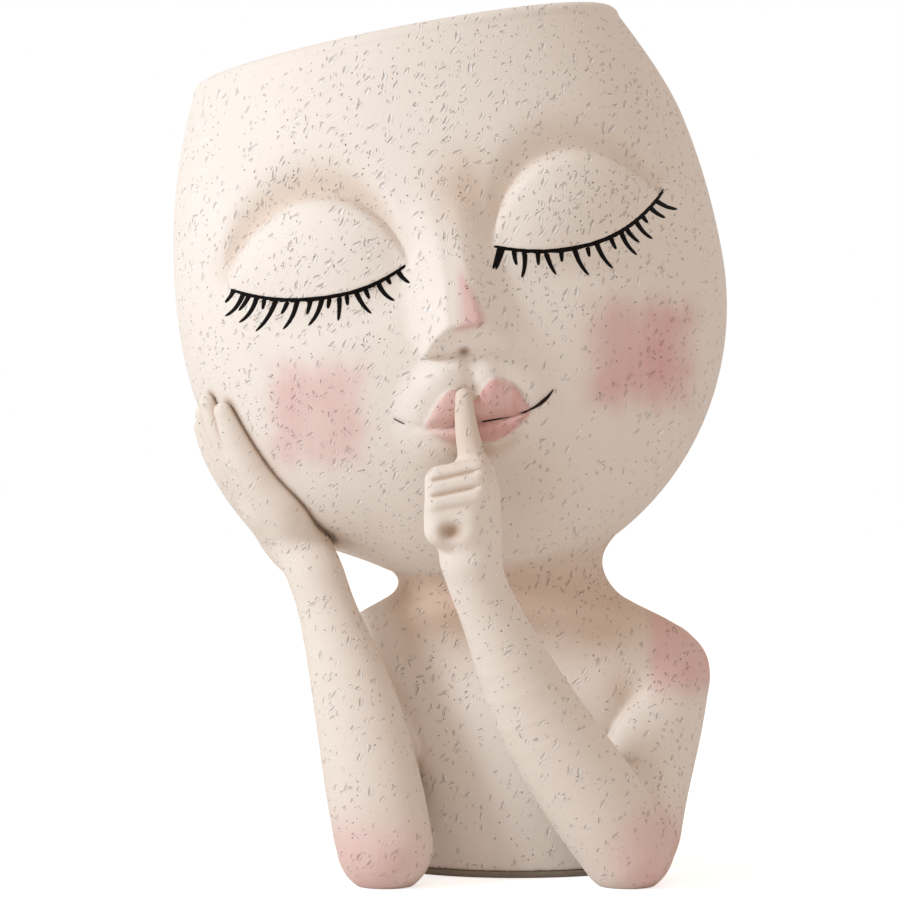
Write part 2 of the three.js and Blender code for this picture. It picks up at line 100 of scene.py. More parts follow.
# The parting of the lips is level in the middle and turns up at both ends
PARTING_RISE = -34.0
SMILE_HALF = 20.0
LEFT_SMILE_LIFT = 3.4
RIGHT_SMILE_LIFT = 4.6
UPPER_LIP_EDGE = [
    (-14.5, -32.5), (-13, -31), (-9, -26.5), (-5, -24.5), (0, -28),
    (3, -25), (6, -23.5), (10.5, -26), (12.5, -30), (14, -33),
]
LOWER_LIP_EDGE = [
    (-14.5, -33), (-12, -35.5), (-7, -38.5), (0, -39.5),
    (4, -39.5), (8, -38), (12, -35.5), (14, -33.5),
]
UPPER_LIP_SWELL = 2.0
LOWER_LIP_SWELL = 2.4
MUZZLE = 2.6
MUZZLE_MIDDLE = -31.0
MUZZLE_HALF_WIDTH = 19.5
MUZZLE_HALF_HEIGHT = 15.5

# Bust
PAD = 1.5
GLUE_GAP = 0.3
BASE_HALF_WIDTH = 36.0
BASE_HALF_DEPTH = 30.0
PLATE = 4.0
PLATE_INSET = 4.0
BUST_WALL = 7.0
HOLLOW_TOP = 46.0
DOWEL_CLEARANCE = 0.3
NECK_DOWEL = (5.0, 17.0)
ELBOW_DOWEL = (2.5, 10.0)
SHOULDER = (39.6, 57.0)

# Forearms; the object's right arm is on the viewer's left
RIGHT_ELBOW = np.array([-35.3, -45.0, 10.6])
LEFT_ELBOW = np.array([28.6, -45.0, 10.6])
ELBOW_RADIUS = 12.8
FOREARM_RADIUS = 12.0
WRIST_RADIUS = 7.6
FINGER_TURNS = (60.0, 67.0, 74.0, 81.0)
FINGER_LENGTHS = (14.0, 17.0, 14.0, 11.0)
FINGER_LIFTS = (2.4, 1.6, 1.2, 1.4)
FINGER_RADIUS = 3.8
HAND_TURN = 72.0
HEEL_UP = -55.0
FINGER_BASE_UP = -33.0
LIPS_UP = -34.2
FIST_SLOPE = 0.18
GROOVE_SLOPE = 0.22

# Upper arms: how far each swings out on its way to the elbow, and the fold over the crook
RIGHT_SWING = 5.0
LEFT_SWING = 8.6
CROOK_RISE = 32.0

# Where pieces meet: the soft blends, and how far one laps over or draws in from the next
ARM_BLEND = 1.4
NECK_FILLET = 5.0
HEAD_LAP = 0.3
SEAM_LAP = 0.7
SEAM_INSET = 0.12

# Fineness of each casting's skin, and the room round its solid in which the skin is sought
BUST_CELL = 0.75
CHEEK_ARM_CELL = 0.55
POINTING_ARM_CELL = 0.5
ROOM_ROUND = 3.0
ROOM_ABOVE = 12.0

# Beyond this distance from a limb's box the box's own distance will do
NEAR_LIMB = 6.0

# Shares of brown painted shade in the creases and on the neck under the head, and of brown tint all over
# the arms
HEAD_CREASE_SHADE = 0.6
BODY_CREASE_SHADE = 0.48
NECK_SHADE = 0.45
ARM_WASH = 0.1
NECK_FOOT = 76.0

# Distances at which a place looks for other forms, to tell how closed in it is
CREASE_REACHES = (1.5, 4.0, 9.0)

# Pits in the resin: how far apart they lie, their half sizes along, into and across, their slant
# and its spread in degrees, and how rare they are
CHIPS = {"spacing": 3.2, "halves": (1.8, 1.3, 0.4), "slant": 55, "spread": 32, "rarity": 0.32}
NICKS = {"spacing": 1.9, "halves": (0.9, 0.7, 0.3), "slant": 65, "spread": 50, "rarity": 0.41}
PINHOLES = {"spacing": 1.5, "halves": (0.28, 0.28, 0.28), "slant": 0, "spread": 0, "rarity": 0.5}
PIT_DEPTH = 0.3
PIT_SIZE_RANGE = 2.4
# Shift of the painted highlight on each pit's lip, to the lower right where its far wall would catch the
# light
HIGHLIGHT_SHIFT = (0.46, 0, -0.27)

# Unevenness of the resin: clusters of pits, drift of its tint, grain, and the warp of the pits
CLUSTER_SIZE = 14
TINT_SIZE = 38
GRAIN_SIZE = 0.7
WARP_SIZE = 1.6
WARP_REACH = 1.1
BRUSH_STROKE = (1.5, 6, 6)

# Beads of paint, standing proud of the face
LASH_PROUD = 0.2
SMILE_PROUD = 0.6

# Studio, in metres; the lamp's colour is in linear parts
KEY_PLACE = (-1.23, -0.75, 0.86)
KEY_TARGET = (-0.018, 0.0, 0.12)
KEY_SIZE = 0.4
KEY_POWER = 14.2
KEY_COLOUR = (0.79, 0.905, 1.0)
FILL_STRENGTH = 0.63
FLOOR_HALF = 3.0
FLOOR_LIFT = 0.62
CAMERA_PLACE = (-0.01807, -0.9266, 0.1153)
CAMERA_LENS = 133.3
SENSOR_WIDTH = 36.0


# Plain tools

def step_between(low, high, value):
    """A smooth step from 0 at low to 1 at high; it falls where low is the greater."""
    share = np.clip((value - low) / (high - low), 0, 1)
    return share * share * (3 - 2 * share)


def hill(value, width):
    """A smooth hill, 1 where the value is 0."""
    return np.exp(-(value / width) ** 2)


def soft_min(a, b, blend):
    """The lesser of two distances, melted into each other over a blend."""
    share = np.clip(0.5 + 0.5 * (b - a) / blend, 0, 1)
    return b + (a - b) * share - blend * share * (1 - share)


def length(vectors):
    return np.sqrt(np.sum(vectors * vectors, axis=-1))


def smooth_path(places, steps):
    """Points on a smooth curve through the places; a place may carry a radius as a fourth number."""
    places = np.array(places, dtype=float)
    padded = np.vstack([2 * places[0] - places[1], places, 2 * places[-1] - places[-2]])
    path = []
    for before, start, end, after in zip(padded, padded[1:], padded[2:], padded[3:]):
        for t in np.arange(steps) / steps:
            bend = (2 * before - 5 * start + 4 * end - after) * t * t
            twist = (3 * start - before - 3 * end + after) * t ** 3
            path.append(0.5 * (2 * start + (end - before) * t + bend + twist))
    return np.array(path + [places[-1]])


def to_head(points):
    offset = points - HEAD_CENTRE
    across = offset[..., 0] * cos(HEAD_LEAN) + offset[..., 2] * sin(HEAD_LEAN)
    up = offset[..., 2] * cos(HEAD_LEAN) - offset[..., 0] * sin(HEAD_LEAN)
    return np.stack([across, offset[..., 1], up], axis=-1)


def from_head(points):
    x = points[..., 0] * cos(HEAD_LEAN) - points[..., 2] * sin(HEAD_LEAN)
    z = points[..., 0] * sin(HEAD_LEAN) + points[..., 2] * cos(HEAD_LEAN)
    return np.stack([x, points[..., 1], z], axis=-1) + HEAD_CENTRE


def mesh_piece(name, points, faces, material, replaced=(), marks=None):
    """A piece from points in millimetres, with soft paint masks as marks on its points."""
    mesh = bpy.data.meshes.new(name)
    mesh.from_pydata((np.asarray(points) * MM).tolist(), [], faces)
    for mark, values in (marks or {}).items():
        layer = mesh.attributes.new(mark, "FLOAT", "POINT")
        layer.data.foreach_set("value", np.asarray(values, dtype=np.float32))
    mesh.shade_smooth()
    mesh.materials.append(material)
    piece = bpy.data.objects.new(name, mesh)
    bpy.context.collection.objects.link(piece)
    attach(piece, "root")
    if replaced:
        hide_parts(*replaced)
    return piece


# Materials

def linear(hex_colour):
    """An sRGB hex colour as linear red, green, blue and alpha."""
    parts = [int(hex_colour[i:i + 2], 16) / 255 for i in (1, 3, 5)]
    return [p / 12.92 if p <= 0.04045 else ((p + 0.055) / 1.055) ** 2.4 for p in parts] + [1]


def add(tree, kind, inputs=None, **settings):
    """Adds a shader node, makes its settings, and fills or links its inputs.

    A node given for an input stands for its own first output.
    """
    node = tree.nodes.new("ShaderNode" + kind)
    for setting, value in settings.items():
        setattr(node, setting, value)
    for socket, value in (inputs or {}).items():
        if isinstance(value, bpy.types.Node):
            value = value.outputs[0]
        if isinstance(value, bpy.types.NodeSocket):
            tree.links.new(value, node.inputs[socket])
        else:
            node.inputs[socket].default_value = value
    return node


def new_material(name):
    material = bpy.data.materials.new(name)
    material.use_nodes = True
    material.node_tree.nodes.clear()
    return material, material.node_tree


def pits(tree, place, crowding, spacing, halves, slant, spread, rarity):
    """Depth of pits scattered a spacing apart, and how much of a painted highlight lies on the lip beside
    each.

    Each pit has half sizes along, into and across it, and is turned at random about its slant.
    """
    grid = add(tree, "VectorMath", {0: place, "Scale": 1 / (spacing * MM)}, operation="SCALE")
    cells = add(tree, "TexVoronoi", {"Vector": grid, "Scale": 1.0})
    chance = add(tree, "SeparateColor", {"Color": cells.outputs["Color"]})
    turns = {"To Min": radians(slant - spread), "To Max": radians(slant + spread)}
    angle = add(tree, "MapRange", {"Value": chance.outputs["Green"], **turns})

    # A pit's size comes by chance, grows where pits crowd together and shrinks where they are rare
    least = -1.0 - PIT_SIZE_RANGE * rarity
    crowd = add(tree, "Math", {0: crowding, 1: 2.0, 2: least}, operation="MULTIPLY_ADD")
    drawn = {0: chance.outputs["Red"], 1: PIT_SIZE_RANGE, 2: crowd}
    size = add(tree, "Math", drawn, operation="MULTIPLY_ADD")
    held = add(tree, "Clamp", {"Value": size, "Min": 0.01, "Max": 1.0})

    # The painted highlight is the same oval, shifted to the lower right, where the pit's far wall would
    # catch the light and the pit itself doesn't cover it
    ovals = []
    for shift in ((0, 0, 0), HIGHLIGHT_SHIFT):
        shifted = {0: cells.outputs["Position"], 1: [part / spacing for part in shift]}
        middle = add(tree, "VectorMath", shifted, operation="ADD")
        offset = add(tree, "VectorMath", {0: grid, 1: middle}, operation="SUBTRACT")
        turned = add(tree, "VectorRotate", {"Vector": offset, "Axis": (0, 1, 0), "Angle": angle})
        sizing = {0: turned, 1: [spacing / half for half in halves]}
        sized = add(tree, "VectorMath", sizing, operation="MULTIPLY")
        off = add(tree, "VectorMath", {0: sized}, operation="LENGTH")
        share = add(tree, "Math", {0: off.outputs["Value"], 1: held}, operation="DIVIDE")
        wall = {"Value": share, "From Min": 1.0, "From Max": 0.25}
        ovals.append(add(tree, "MapRange", wall, interpolation_type="SMOOTHSTEP"))
    pit, shifted_pit = ovals
    lip = add(tree, "Math", {0: shifted_pit, 1: pit}, operation="SUBTRACT", use_clamp=True)
    return [add(tree, "Math", {0: form, 1: held}, operation="MULTIPLY") for form in (pit, lip)]


def cold_cast_resin():
    """Resin filled with mineral powder, cast in a rubber mould and hand painted matt.

    The eye sees a chalky warm white with short slanting pits, each with a painted highlight on its lower
    right lip and painted shade and dirt inside, dark pinholes where bubbles broke, brown painted shade in
    the creases, and powdery blush and lip colour.
    """
    material, tree = new_material("cold_cast_resin")
    place = add(tree, "TexCoord").outputs["Object"]
    clusters, tint, grain, warp = (
        add(tree, "TexNoise", {"Vector": place, "Scale": 1 / (size * MM), "Detail": detail})
        for size, detail in ((CLUSTER_SIZE, 2.0), (TINT_SIZE, 3.0), (GRAIN_SIZE, 2.0), (WARP_SIZE, 1.0))
    )

    # Places are bent a little, so that no pit is a clean oval
    middle = (0.5, 0.5, 0.5)
    reach = [WARP_REACH * MM] * 3
    centred = add(tree, "VectorMath", {0: warp.outputs["Color"], 1: middle}, operation="SUBTRACT")
    bent = add(tree, "VectorMath", {0: centred, 1: reach, 2: place}, operation="MULTIPLY_ADD")

    # Soft masks that each casting carries on its points
    wear, painted_shade_and_tint, painted_crevice_shades, blush, lip_colour = (
        add(tree, "Attribute", attribute_name=mark, attribute_type="GEOMETRY").outputs["Fac"]
        for mark in ("wear", "painted_shade_and_tint", "painted_crevice_shade", "blush", "lip_paint")
    )

    # Pits crowd in clusters, and most of all where the mould drew air
    crowding = add(tree, "Math", {0: wear, 1: 0.3, 2: clusters.outputs["Fac"]}, operation="MULTIPLY_ADD")
    chips, chip_highlights = pits(tree, bent, crowding, **CHIPS)
    nicks, nick_highlights = pits(tree, bent, crowding, **NICKS)
    pinholes, _ = pits(tree, bent, crowding, **PINHOLES)
    slanting = add(tree, "Math", {0: chips, 1: nicks}, operation="MAXIMUM")
    all_pits = add(tree, "Math", {0: slanting, 1: pinholes}, operation="MAXIMUM")
    # The lips here are painted highlights beside the pits, pale where light would fall on their far walls
    lips = add(tree, "Math", {0: chip_highlights, 1: nick_highlights}, operation="MAXIMUM")

    # Chalk with painted highlights on the pits' lower right lips, then brown painted shade (and an even
    # brown tint on the arms), dark painted shade in the tightest creases, blush and lip colour in
    # streaks, and last brown in the pits, painted shade and dirt
    tints = {0: tint.outputs["Fac"], 6: linear("#f4ebe3"), 7: linear("#eadfd4")}
    chalk = add(tree, "Mix", tints, data_type="RGBA")
    highlighted = add(tree, "Mix", {0: lips, 6: chalk.outputs[2], 7: linear("#fffdfa")}, data_type="RGBA")
    stroke = [side * MM for side in BRUSH_STROKE]
    brushed = add(tree, "Mapping", {"Vector": place, "Scale": stroke}, vector_type="TEXTURE")
    strokes = add(tree, "TexNoise", {"Vector": brushed, "Scale": 1.0, "Detail": 3.0})
    dabs = add(tree, "Math", {0: clusters.outputs["Fac"], 1: 0.9, 2: 0.3}, operation="MULTIPLY_ADD")
    streaks = add(tree, "Math", {0: strokes.outputs["Fac"], 1: 0.5, 2: dabs}, operation="MULTIPLY_ADD")
    # Brown in the pits stands for their shade and for dirt held in them, more where worn
    pit_shade_and_dirt = add(tree, "Math", {0: wear, 1: 0.12, 2: 0.17}, operation="MULTIPLY_ADD")
    colour = highlighted.outputs[2]
    for paint, mask, share in (
        # Brown painted shade with the arms' even tint, then dark painted shade in the tightest creases
        ("#bf9166", painted_shade_and_tint, 1.0), ("#6a5646", painted_crevice_shades, 1.0),
        ("#dea9a6", blush, streaks), ("#d7a099", lip_colour, streaks),
        # Painted shade and dirt in the slanting pits and the pinholes
        ("#a37a5a", slanting, pit_shade_and_dirt), ("#7d6452", pinholes, 0.8),
    ):
        cover = add(tree, "Math", {0: mask, 1: share}, operation="MULTIPLY", use_clamp=True)
        painted = add(tree, "Mix", {0: cover, 6: colour, 7: linear(paint)}, data_type="RGBA")
        colour = painted.outputs[2]

    # An uneven skin with fine grain, in which the lips stand proud and the pits are sunk
    uneven = add(tree, "Math", {0: warp.outputs["Fac"], 1: 0.2}, operation="MULTIPLY")
    fine = add(tree, "Math", {0: grain.outputs["Fac"], 1: 0.1, 2: uneven}, operation="MULTIPLY_ADD")
    proud = add(tree, "Math", {0: lips, 1: 0.6, 2: fine}, operation="MULTIPLY_ADD")
    sunk = add(tree, "Math", {0: proud, 1: all_pits}, operation="SUBTRACT")
    bump = add(tree, "Bump", {"Strength": 1.0, "Distance": PIT_DEPTH * MM, "Height": sunk})
    rough = add(tree, "MapRange", {"Value": grain.outputs["Fac"], "To Min": 0.68, "To Max": 0.86})
    shader = add(
        tree, "BsdfPrincipled",
        {
            "Base Color": colour, "Roughness": rough, "Normal": bump,
            "IOR": 1.5, "Specular IOR Level": 0.3,
        },
    )
    add(tree, "OutputMaterial", {"Surface": shader})
    return material


def speckled(name, light, dark, spot, roughness, bump_depth, metallic=0.0, stretch=(1, 1, 1), shine=0.5):
    """A finish of two close colours in spots of a size in millimetres, raised a little."""
    material, tree = new_material(name)
    place = add(tree, "TexCoord").outputs["Object"]
    laid = add(tree, "Mapping", {"Vector": place, "Scale": stretch})
    spots = add(tree, "TexNoise", {"Vector": laid, "Scale": 1 / (spot * MM), "Detail": 3.0})
    shade = spots.outputs["Fac"]
    colour = add(tree, "Mix", {0: shade, 6: linear(light), 7: linear(dark)}, data_type="RGBA")
    bump = add(tree, "Bump", {"Distance": bump_depth * MM, "Height": shade})
    spread = {"To Min": roughness - 0.06, "To Max": roughness + 0.06}
    rough = add(tree, "MapRange", {"Value": shade, **spread})
    shader = add(
        tree, "BsdfPrincipled",
        {
            "Base Color": colour.outputs[2], "Roughness": rough, "Metallic": metallic,
            "Specular IOR Level": shine, "Normal": bump,
        },
    )
    add(tree, "OutputMaterial", {"Surface": shader})
    return material


resin = cold_cast_resin()
# Bare filled resin: the same casting without paint, greyer and even
bare_resin = speckled("bare_filled_resin", "#ddd0c3", "#cfc0b1", spot=1.2, roughness=0.8, bump_depth=0.08)
# Closed-cell foam: grey-brown, quite matt, with a fine grain of cut cells
foam = speckled("closed_cell_foam", "#938679", "#867a6e", spot=0.8, roughness=0.93, bump_depth=0.15)
# Drawn steel: bright, with fine lines along the bar
drawn_steel = speckled(
    "drawn_steel", "#b2b2b0", "#9a9a98", spot=0.5, roughness=0.35, bump_depth=0.02,
    metallic=1.0, stretch=(1, 1, 0.05),
)
# Black acrylic lash paint: brushed on thin, almost matt, a little brown where it thins
lash_paint = speckled(
    "black_acrylic_paint", "#060505", "#120d0b", spot=0.9, roughness=0.75, bump_depth=0.05, shine=0.1,
)
# Thin brown-black paint: the same black let down with water, so the brown shows along the smile
smile_paint = speckled(
    "thin_brown_black_paint", "#3b2a22", "#150f0c", spot=2.5, roughness=0.75, bump_depth=0.05, shine=0.1,
)


# Head

def jaw_trim(across, up):
    """Share of its distance from the centre that a point of the head keeps."""
    off = ((across - JAW_CUT_PLACE[0]) ** 2 + (up - JAW_CUT_PLACE[1]) ** 2) / JAW_CUT_SPREAD ** 2
    return 1 - JAW_CUT * np.exp(-off)


def crown_trim(across, up):
    """How far the right of the crown draws in."""
    return CROWN_TRIM * step_between(38, RIM_RISE, up) * step_between(10, 60, across)


def lid_edge(side):
    """Height of a lid's lower edge at a place to the left or right of the midline."""
    out = np.abs(side)
    inner_rise = np.where(side < 0, LEFT_LID_INNER_RISE, RIGHT_LID_INNER_RISE)
    lowest = np.where(side < 0, LEFT_LID_LOWEST_RISE, RIGHT_LID_LOWEST_RISE)
    outer_rise = np.where(side < 0, LEFT_LID_OUTER_RISE, RIGHT_LID_OUTER_RISE)
    inner = (inner_rise - lowest) * ((out - LID_LOWEST) / (LID_LOWEST - LID_INNER)) ** 2
    outer = (outer_rise - lowest) * np.maximum((out - LID_LOWEST) / (LID_OUTER - LID_LOWEST), 0) ** 2.4
    return lowest + np.where(out < LID_LOWEST, inner, outer)


def lid_shape(side):
    """Place along a lid, from -1 at its inner corner to 1 at its outer one, and two heights.

    The heights are those of its lower edge and of the crease above it.
    """
    along = (np.abs(side) - 0.5 * (LID_INNER + LID_OUTER)) / (0.5 * (LID_OUTER - LID_INNER))
    within = np.clip(along, -1, 1)
    corner_line = CREASE_INNER_RISE + (CREASE_OUTER_RISE - CREASE_INNER_RISE) * (within + 1) / 2
    arch = np.where(within < 0, (1 - np.abs(within) ** 2.1) ** 0.62, (1 - np.abs(within) ** 1.8) ** 0.75)
    edge = lid_edge(side)
    return along, edge, np.maximum(corner_line + (CREASE_TOP_RISE - corner_line) * arch, edge + 0.5)


def lid_hollow(side, up):
    """Share of its depth that the hollow above a lid's crease has."""
    along, _, crease = lid_shape(side)
    above = up - crease - HOLLOW_RISE
    reach = np.where(above > 0, HOLLOW_REACH_UP, HOLLOW_REACH_DOWN)
    return hill(above, reach) * step_between(1.25, 0.75, along) * step_between(-1.25, -0.6, along)


def lid_relief(side, up):
    """A closed lid: a dome over the eyeball, a step at the lashes and a hollow above the crease."""
    along, edge, crease = lid_shape(side)
    within = np.clip(along, -1, 1)
    centre = 0.5 * (edge + crease)
    rise = np.where(up > centre, (up - centre) / (crease - centre), (centre - up) / (centre - edge + 9.0))
    across_fade = np.where(within < 0, 1 - within ** 2, np.sqrt(1 - within ** 2))
    dome = LID_DOME * np.clip(1 - rise ** 2, 0, 1) ** np.where(up > centre, 0.5, 1.5) * across_fade
    step = LID_STEP * step_between(0.5, -0.7, up - edge) * np.sqrt(1 - within ** 2)
    fade = hill(np.minimum(up - edge, 0), 9.0)
    hollow = np.where(side < 0, LEFT_LID_HOLLOW, RIGHT_LID_HOLLOW)
    return (dome - step) * fade - hollow * lid_hollow(side, up)


def nose_base(across):
    """Height of the line where the underside of the nose ends, nearly level though the head leans."""
    return NOSE_BASE_RISE - NOSE_BASE_TILT * across


def nostril(across, up):
    """Share of its depth that the small nostril has."""
    return hill(across + 0.8, 1.3) * hill(up - nose_base(across), 0.8)


def nose_relief(across, up):
    """A wedge that widens from the bridge to a flat tip, with a sloping underside."""
    ridge = np.interp(
        up,
        [NOSE_TIP_RISE - 1, NOSE_TIP_RISE, 0, 12, NOSE_TOP, NOSE_TOP + 12],
        [NOSE_OUT, NOSE_OUT, 0.78 * NOSE_OUT, 0.45 * NOSE_OUT, 0.1 * NOSE_OUT, 0],
    )
    base = nose_base(across)
    soft_side = step_between(2, 8, across)
    base_out = 3.2 - 2.0 * soft_side
    steepness = (NOSE_OUT - base_out) / (NOSE_TIP_RISE - base)
    underside = base_out + (up - base) * steepness
    crest = np.interp(
        up,
        [NOSE_BASE_RISE, NOSE_TIP_RISE, 2, 14, NOSE_TOP + 6],
        [0.85 * NOSE_BASE_HALF, 0.85 * NOSE_TIP_HALF, 0.6 * NOSE_TIP_HALF, BRIDGE_HALF, 2 * BRIDGE_HALF],
    )
    foot = np.interp(
        up,
        [NOSE_BASE_RISE, NOSE_TIP_RISE, 6, NOSE_TOP + 6],
        [NOSE_BASE_HALF + 3, NOSE_BASE_HALF + 5.5, NOSE_BASE_HALF + 4.5, NOSE_BASE_HALF + 6],
    )
    slope = np.clip((foot - np.abs(across)) / (foot - crest), 0, 1)
    sides = ridge * (1.35 * slope ** 1.7 - 0.35 * slope ** 5)
    out = np.maximum(soft_min(sides, underside, 0.8 + 2.2 * soft_side), 0)
    return out * step_between(base - 1.0, base, up) - 0.8 * nostril(across, up)


def parting_line(across):
    """Height of the line between the lips."""
    lift = np.where(across < 0, LEFT_SMILE_LIFT, RIGHT_SMILE_LIFT)
    return PARTING_RISE + lift * (across / SMILE_HALF) ** 4


def lip_edge(edge, across):
    """Height of an edge of the lips, on a smooth curve through its places."""
    curve = smooth_path(edge, steps=6)
    return np.interp(across, curve[:, 0], curve[:, 1])


def lip_swell(edge, across, up):
    """Share of its fullness that a lip has between the parting and its edge."""
    parting = parting_line(across)
    tall = lip_edge(edge, across) - parting
    share = np.clip((up - parting) / np.where(np.abs(tall) < 0.3, 0.3, tall), 0, 1)
    corners = np.clip(1 - (across / SMILE_HALF) ** 4, 0, 1)
    return np.sqrt(4 * share * (1 - share)) * corners * step_between(0.3, 3.0, np.abs(tall))


def mouth_relief(across, up):
    """Full lips on a soft muzzle, two pads above them and the parting that turns up in a smile."""
    round_mouth = np.hypot(across / MUZZLE_HALF_WIDTH, (up - MUZZLE_MIDDLE) / MUZZLE_HALF_HEIGHT)
    muzzle = MUZZLE * step_between(1.2, 0.75, round_mouth)
    left_pad = 1.5 * hill(across + 7.5, 5.0) * hill(up + 22.5, 5.5)
    right_pad = 1.3 * hill(across - 4.6, 2.8) * hill(up + 21.5, 5.0)
    groove = -1.3 * hill(across, 1.6) * step_between(-29, -25, up) * step_between(-14, -18, up)
    upper = UPPER_LIP_SWELL * lip_swell(UPPER_LIP_EDGE, across, up)
    lower = LOWER_LIP_SWELL * lip_swell(LOWER_LIP_EDGE, across, up)
    cut = -0.7 * hill(up - parting_line(across), 1.1) * step_between(22.5, 17, np.abs(across))
    under = -1.2 * hill(across, 11) * hill(up - PARTING_RISE + 10.5, 3.2)
    return muzzle + left_pad + right_pad + groove + upper + lower + cut + under


def face_relief(across, up):
    """How far the face stands out of the plain egg."""
    side = across - MIDLINE
    out = np.abs(side)
    features = lid_relief(side, up) + nose_relief(side, up) + mouth_relief(side, up)
    cheeks = 1.2 * hill(out - 38, 18) * hill(up + 20, 18)
    eye_corners = 0.6 * hill(out - 13, 6) * hill(up - 13, 9)
    return features + cheeks - eye_corners


def head_surface(turn, up, share):
    """Points of the outside at a turn from the face, a height and the egg's share of its width there."""
    x = HALF_WIDTH * share * np.sin(turn)
    y = -HALF_DEPTH * share * np.cos(turn)
    facing = step_between(0.05, 0.45, np.cos(turn))
    y = y - facing * face_relief(x, up)
    trim = jaw_trim(x, up)
    lean = step_between(0, RIM_RISE, up) * x * tan(RIM_LEAN)
    return np.stack([x * trim - crown_trim(x, up), y * trim, up * trim + lean], axis=-1)


def on_face(across, up, proud):
    """A point on the front of the head, standing a little proud of it."""
    reach = np.where(up < 0, CHIN_DROP, CROWN_RISE)
    share = np.sqrt(1 - (up / reach) ** 2)
    point = head_surface(np.arcsin(across / (HALF_WIDTH * share)), up, share)
    return from_head(point + np.array([0, -proud, 0]))


def head_rows():
    """Rings up the outside of the head, over the rim and down the inside.

    Each has a height, the egg's share of its width there and a shift; also how many lie outside.
    """
    rows = []
    lower_rings, upper_rings, lip_rings, inner_rings = 165, 105, 7, 26
    for angle in np.linspace(-0.5 * pi, 0, lower_rings, endpoint=False)[1:]:
        rows.append((CHIN_DROP * sin(angle), cos(angle), 0.0))
    for angle in np.linspace(0, asin((RIM_RISE - RIM_OUTER_ROUND) / CROWN_RISE), upper_rings):
        rows.append((CROWN_RISE * sin(angle), cos(angle), 0.0))
    outside = len(rows)
    edge = rows[-1][1]
    for turn in np.linspace(0, 0.5 * pi, lip_rings + 1)[1:]:
        fall = RIM_OUTER_ROUND * (1 - sin(turn))
        rows.append((RIM_RISE - fall, edge, -RIM_OUTER_ROUND * (1 - cos(turn))))
    for turn in np.linspace(0, 0.5 * pi, lip_rings + 1):
        fall = RIM_INNER_ROUND * (1 - cos(turn))
        rows.append((RIM_RISE - fall, edge, RIM_INNER_ROUND * (1 - sin(turn)) - WALL))
    for angle in np.linspace(asin((RIM_RISE - RIM_INNER_ROUND) / CROWN_RISE), 0, inner_rings)[1:]:
        rows.append((CROWN_RISE * sin(angle), cos(angle), -WALL))
    for angle in np.linspace(0, -0.5 * pi, inner_rings, endpoint=False)[1:]:
        rows.append((FLOOR_RISE * -sin(angle), cos(angle), -WALL))
    return np.array(rows), outside


def ring_turns():
    """Turns round the head, even across the front of the face and wider apart behind."""
    front_columns, back_columns, front_reach = 216, 76, 0.985
    front = np.arcsin(np.linspace(-front_reach, front_reach, front_columns))
    edge = front[-1]
    behind = np.linspace(edge, 2 * pi - edge, back_columns)[1:-1]
    return np.concatenate([front, behind])


def grid_faces(rings, columns):
    """Quads of a closed grid of rings, with a fan at either end."""
    index = np.arange(rings * columns).reshape(rings, columns)
    beside = np.roll(index, -1, axis=1)
    quads = np.stack([index[:-1], beside[:-1], beside[1:], index[1:]], axis=-1)
    faces = quads.reshape(-1, 4).tolist()
    first, last = rings * columns, rings * columns + 1
    faces += [[first, b, a] for a, b in zip(index[0], beside[0])]
    faces += [[last, a, b] for a, b in zip(index[-1], beside[-1])]
    return faces


def make_head():
    """The head as a grid of rings, with the face in relief and its paint."""
    rows, outside = head_rows()
    turns = ring_turns()
    up, turn = np.meshgrid(rows[:, 0], turns, indexing="ij")
    share, shift = rows[:, 1:2], rows[:, 2:3]
    plain_x = (HALF_WIDTH * share + shift) * np.sin(turn)
    plain_y = -(HALF_DEPTH * share + shift) * np.cos(turn)
    lean = step_between(0, RIM_RISE, up) * plain_x * tan(RIM_LEAN)
    points = np.stack([plain_x - crown_trim(plain_x, up), plain_y, up + lean], axis=-1)
    points[:outside] = head_surface(turn[:outside], up[:outside], share[:outside])
    poles = np.array([[0, 0, -CHIN_DROP], [0, 0, FLOOR_RISE]])
    placed = from_head(np.vstack([points.reshape(-1, 3), poles]))
    faces = grid_faces(len(rows), len(turns))

    front = np.zeros(points.shape[:2])
    front[:outside] = step_between(0.05, 0.3, np.cos(turn[:outside]))
    across = np.append(plain_x.ravel() - MIDLINE, [0, 0])
    height = np.append(up.ravel(), [0, 0])
    shown = np.append(front.ravel(), [0, 0])
    outer = np.append(np.repeat(np.arange(len(rows)) < outside, len(turns)), [False, False])
    normals = point_normals(placed, [face for face in faces if len(face) == 4])
    close = np.where(outer, closeness(placed, normals, body), 0)

    # Less painted shade on the chin to the left of the fist, where the light reaches
    shade_kept = 1 - 0.85 * shown * hill(across + 10, 6) * hill(height + 44, 7)
    in_creases = np.where(outer, shade_kept * crease_and_neck_shade(placed, close, HEAD_CREASE_SHADE), 0)
    marks = {
        "blush": shown * cheek_blush(across, height),
        "lip_paint": shown * lip_paint(across, height),
        "wear": shown * face_wear(across, height),
        # Brown painted shade in the creases and on the face; dark painted shade in the tightest creases
        # and the nostril
        "painted_shade_and_tint": in_creases + shown * painted_face_shade(across, height),
        "painted_crevice_shade": painted_crevice_shade(close) + 0.8 * shown * nostril(across, height),
    }
    mesh_piece("head", placed, faces, resin, ("head_vessel",), marks)


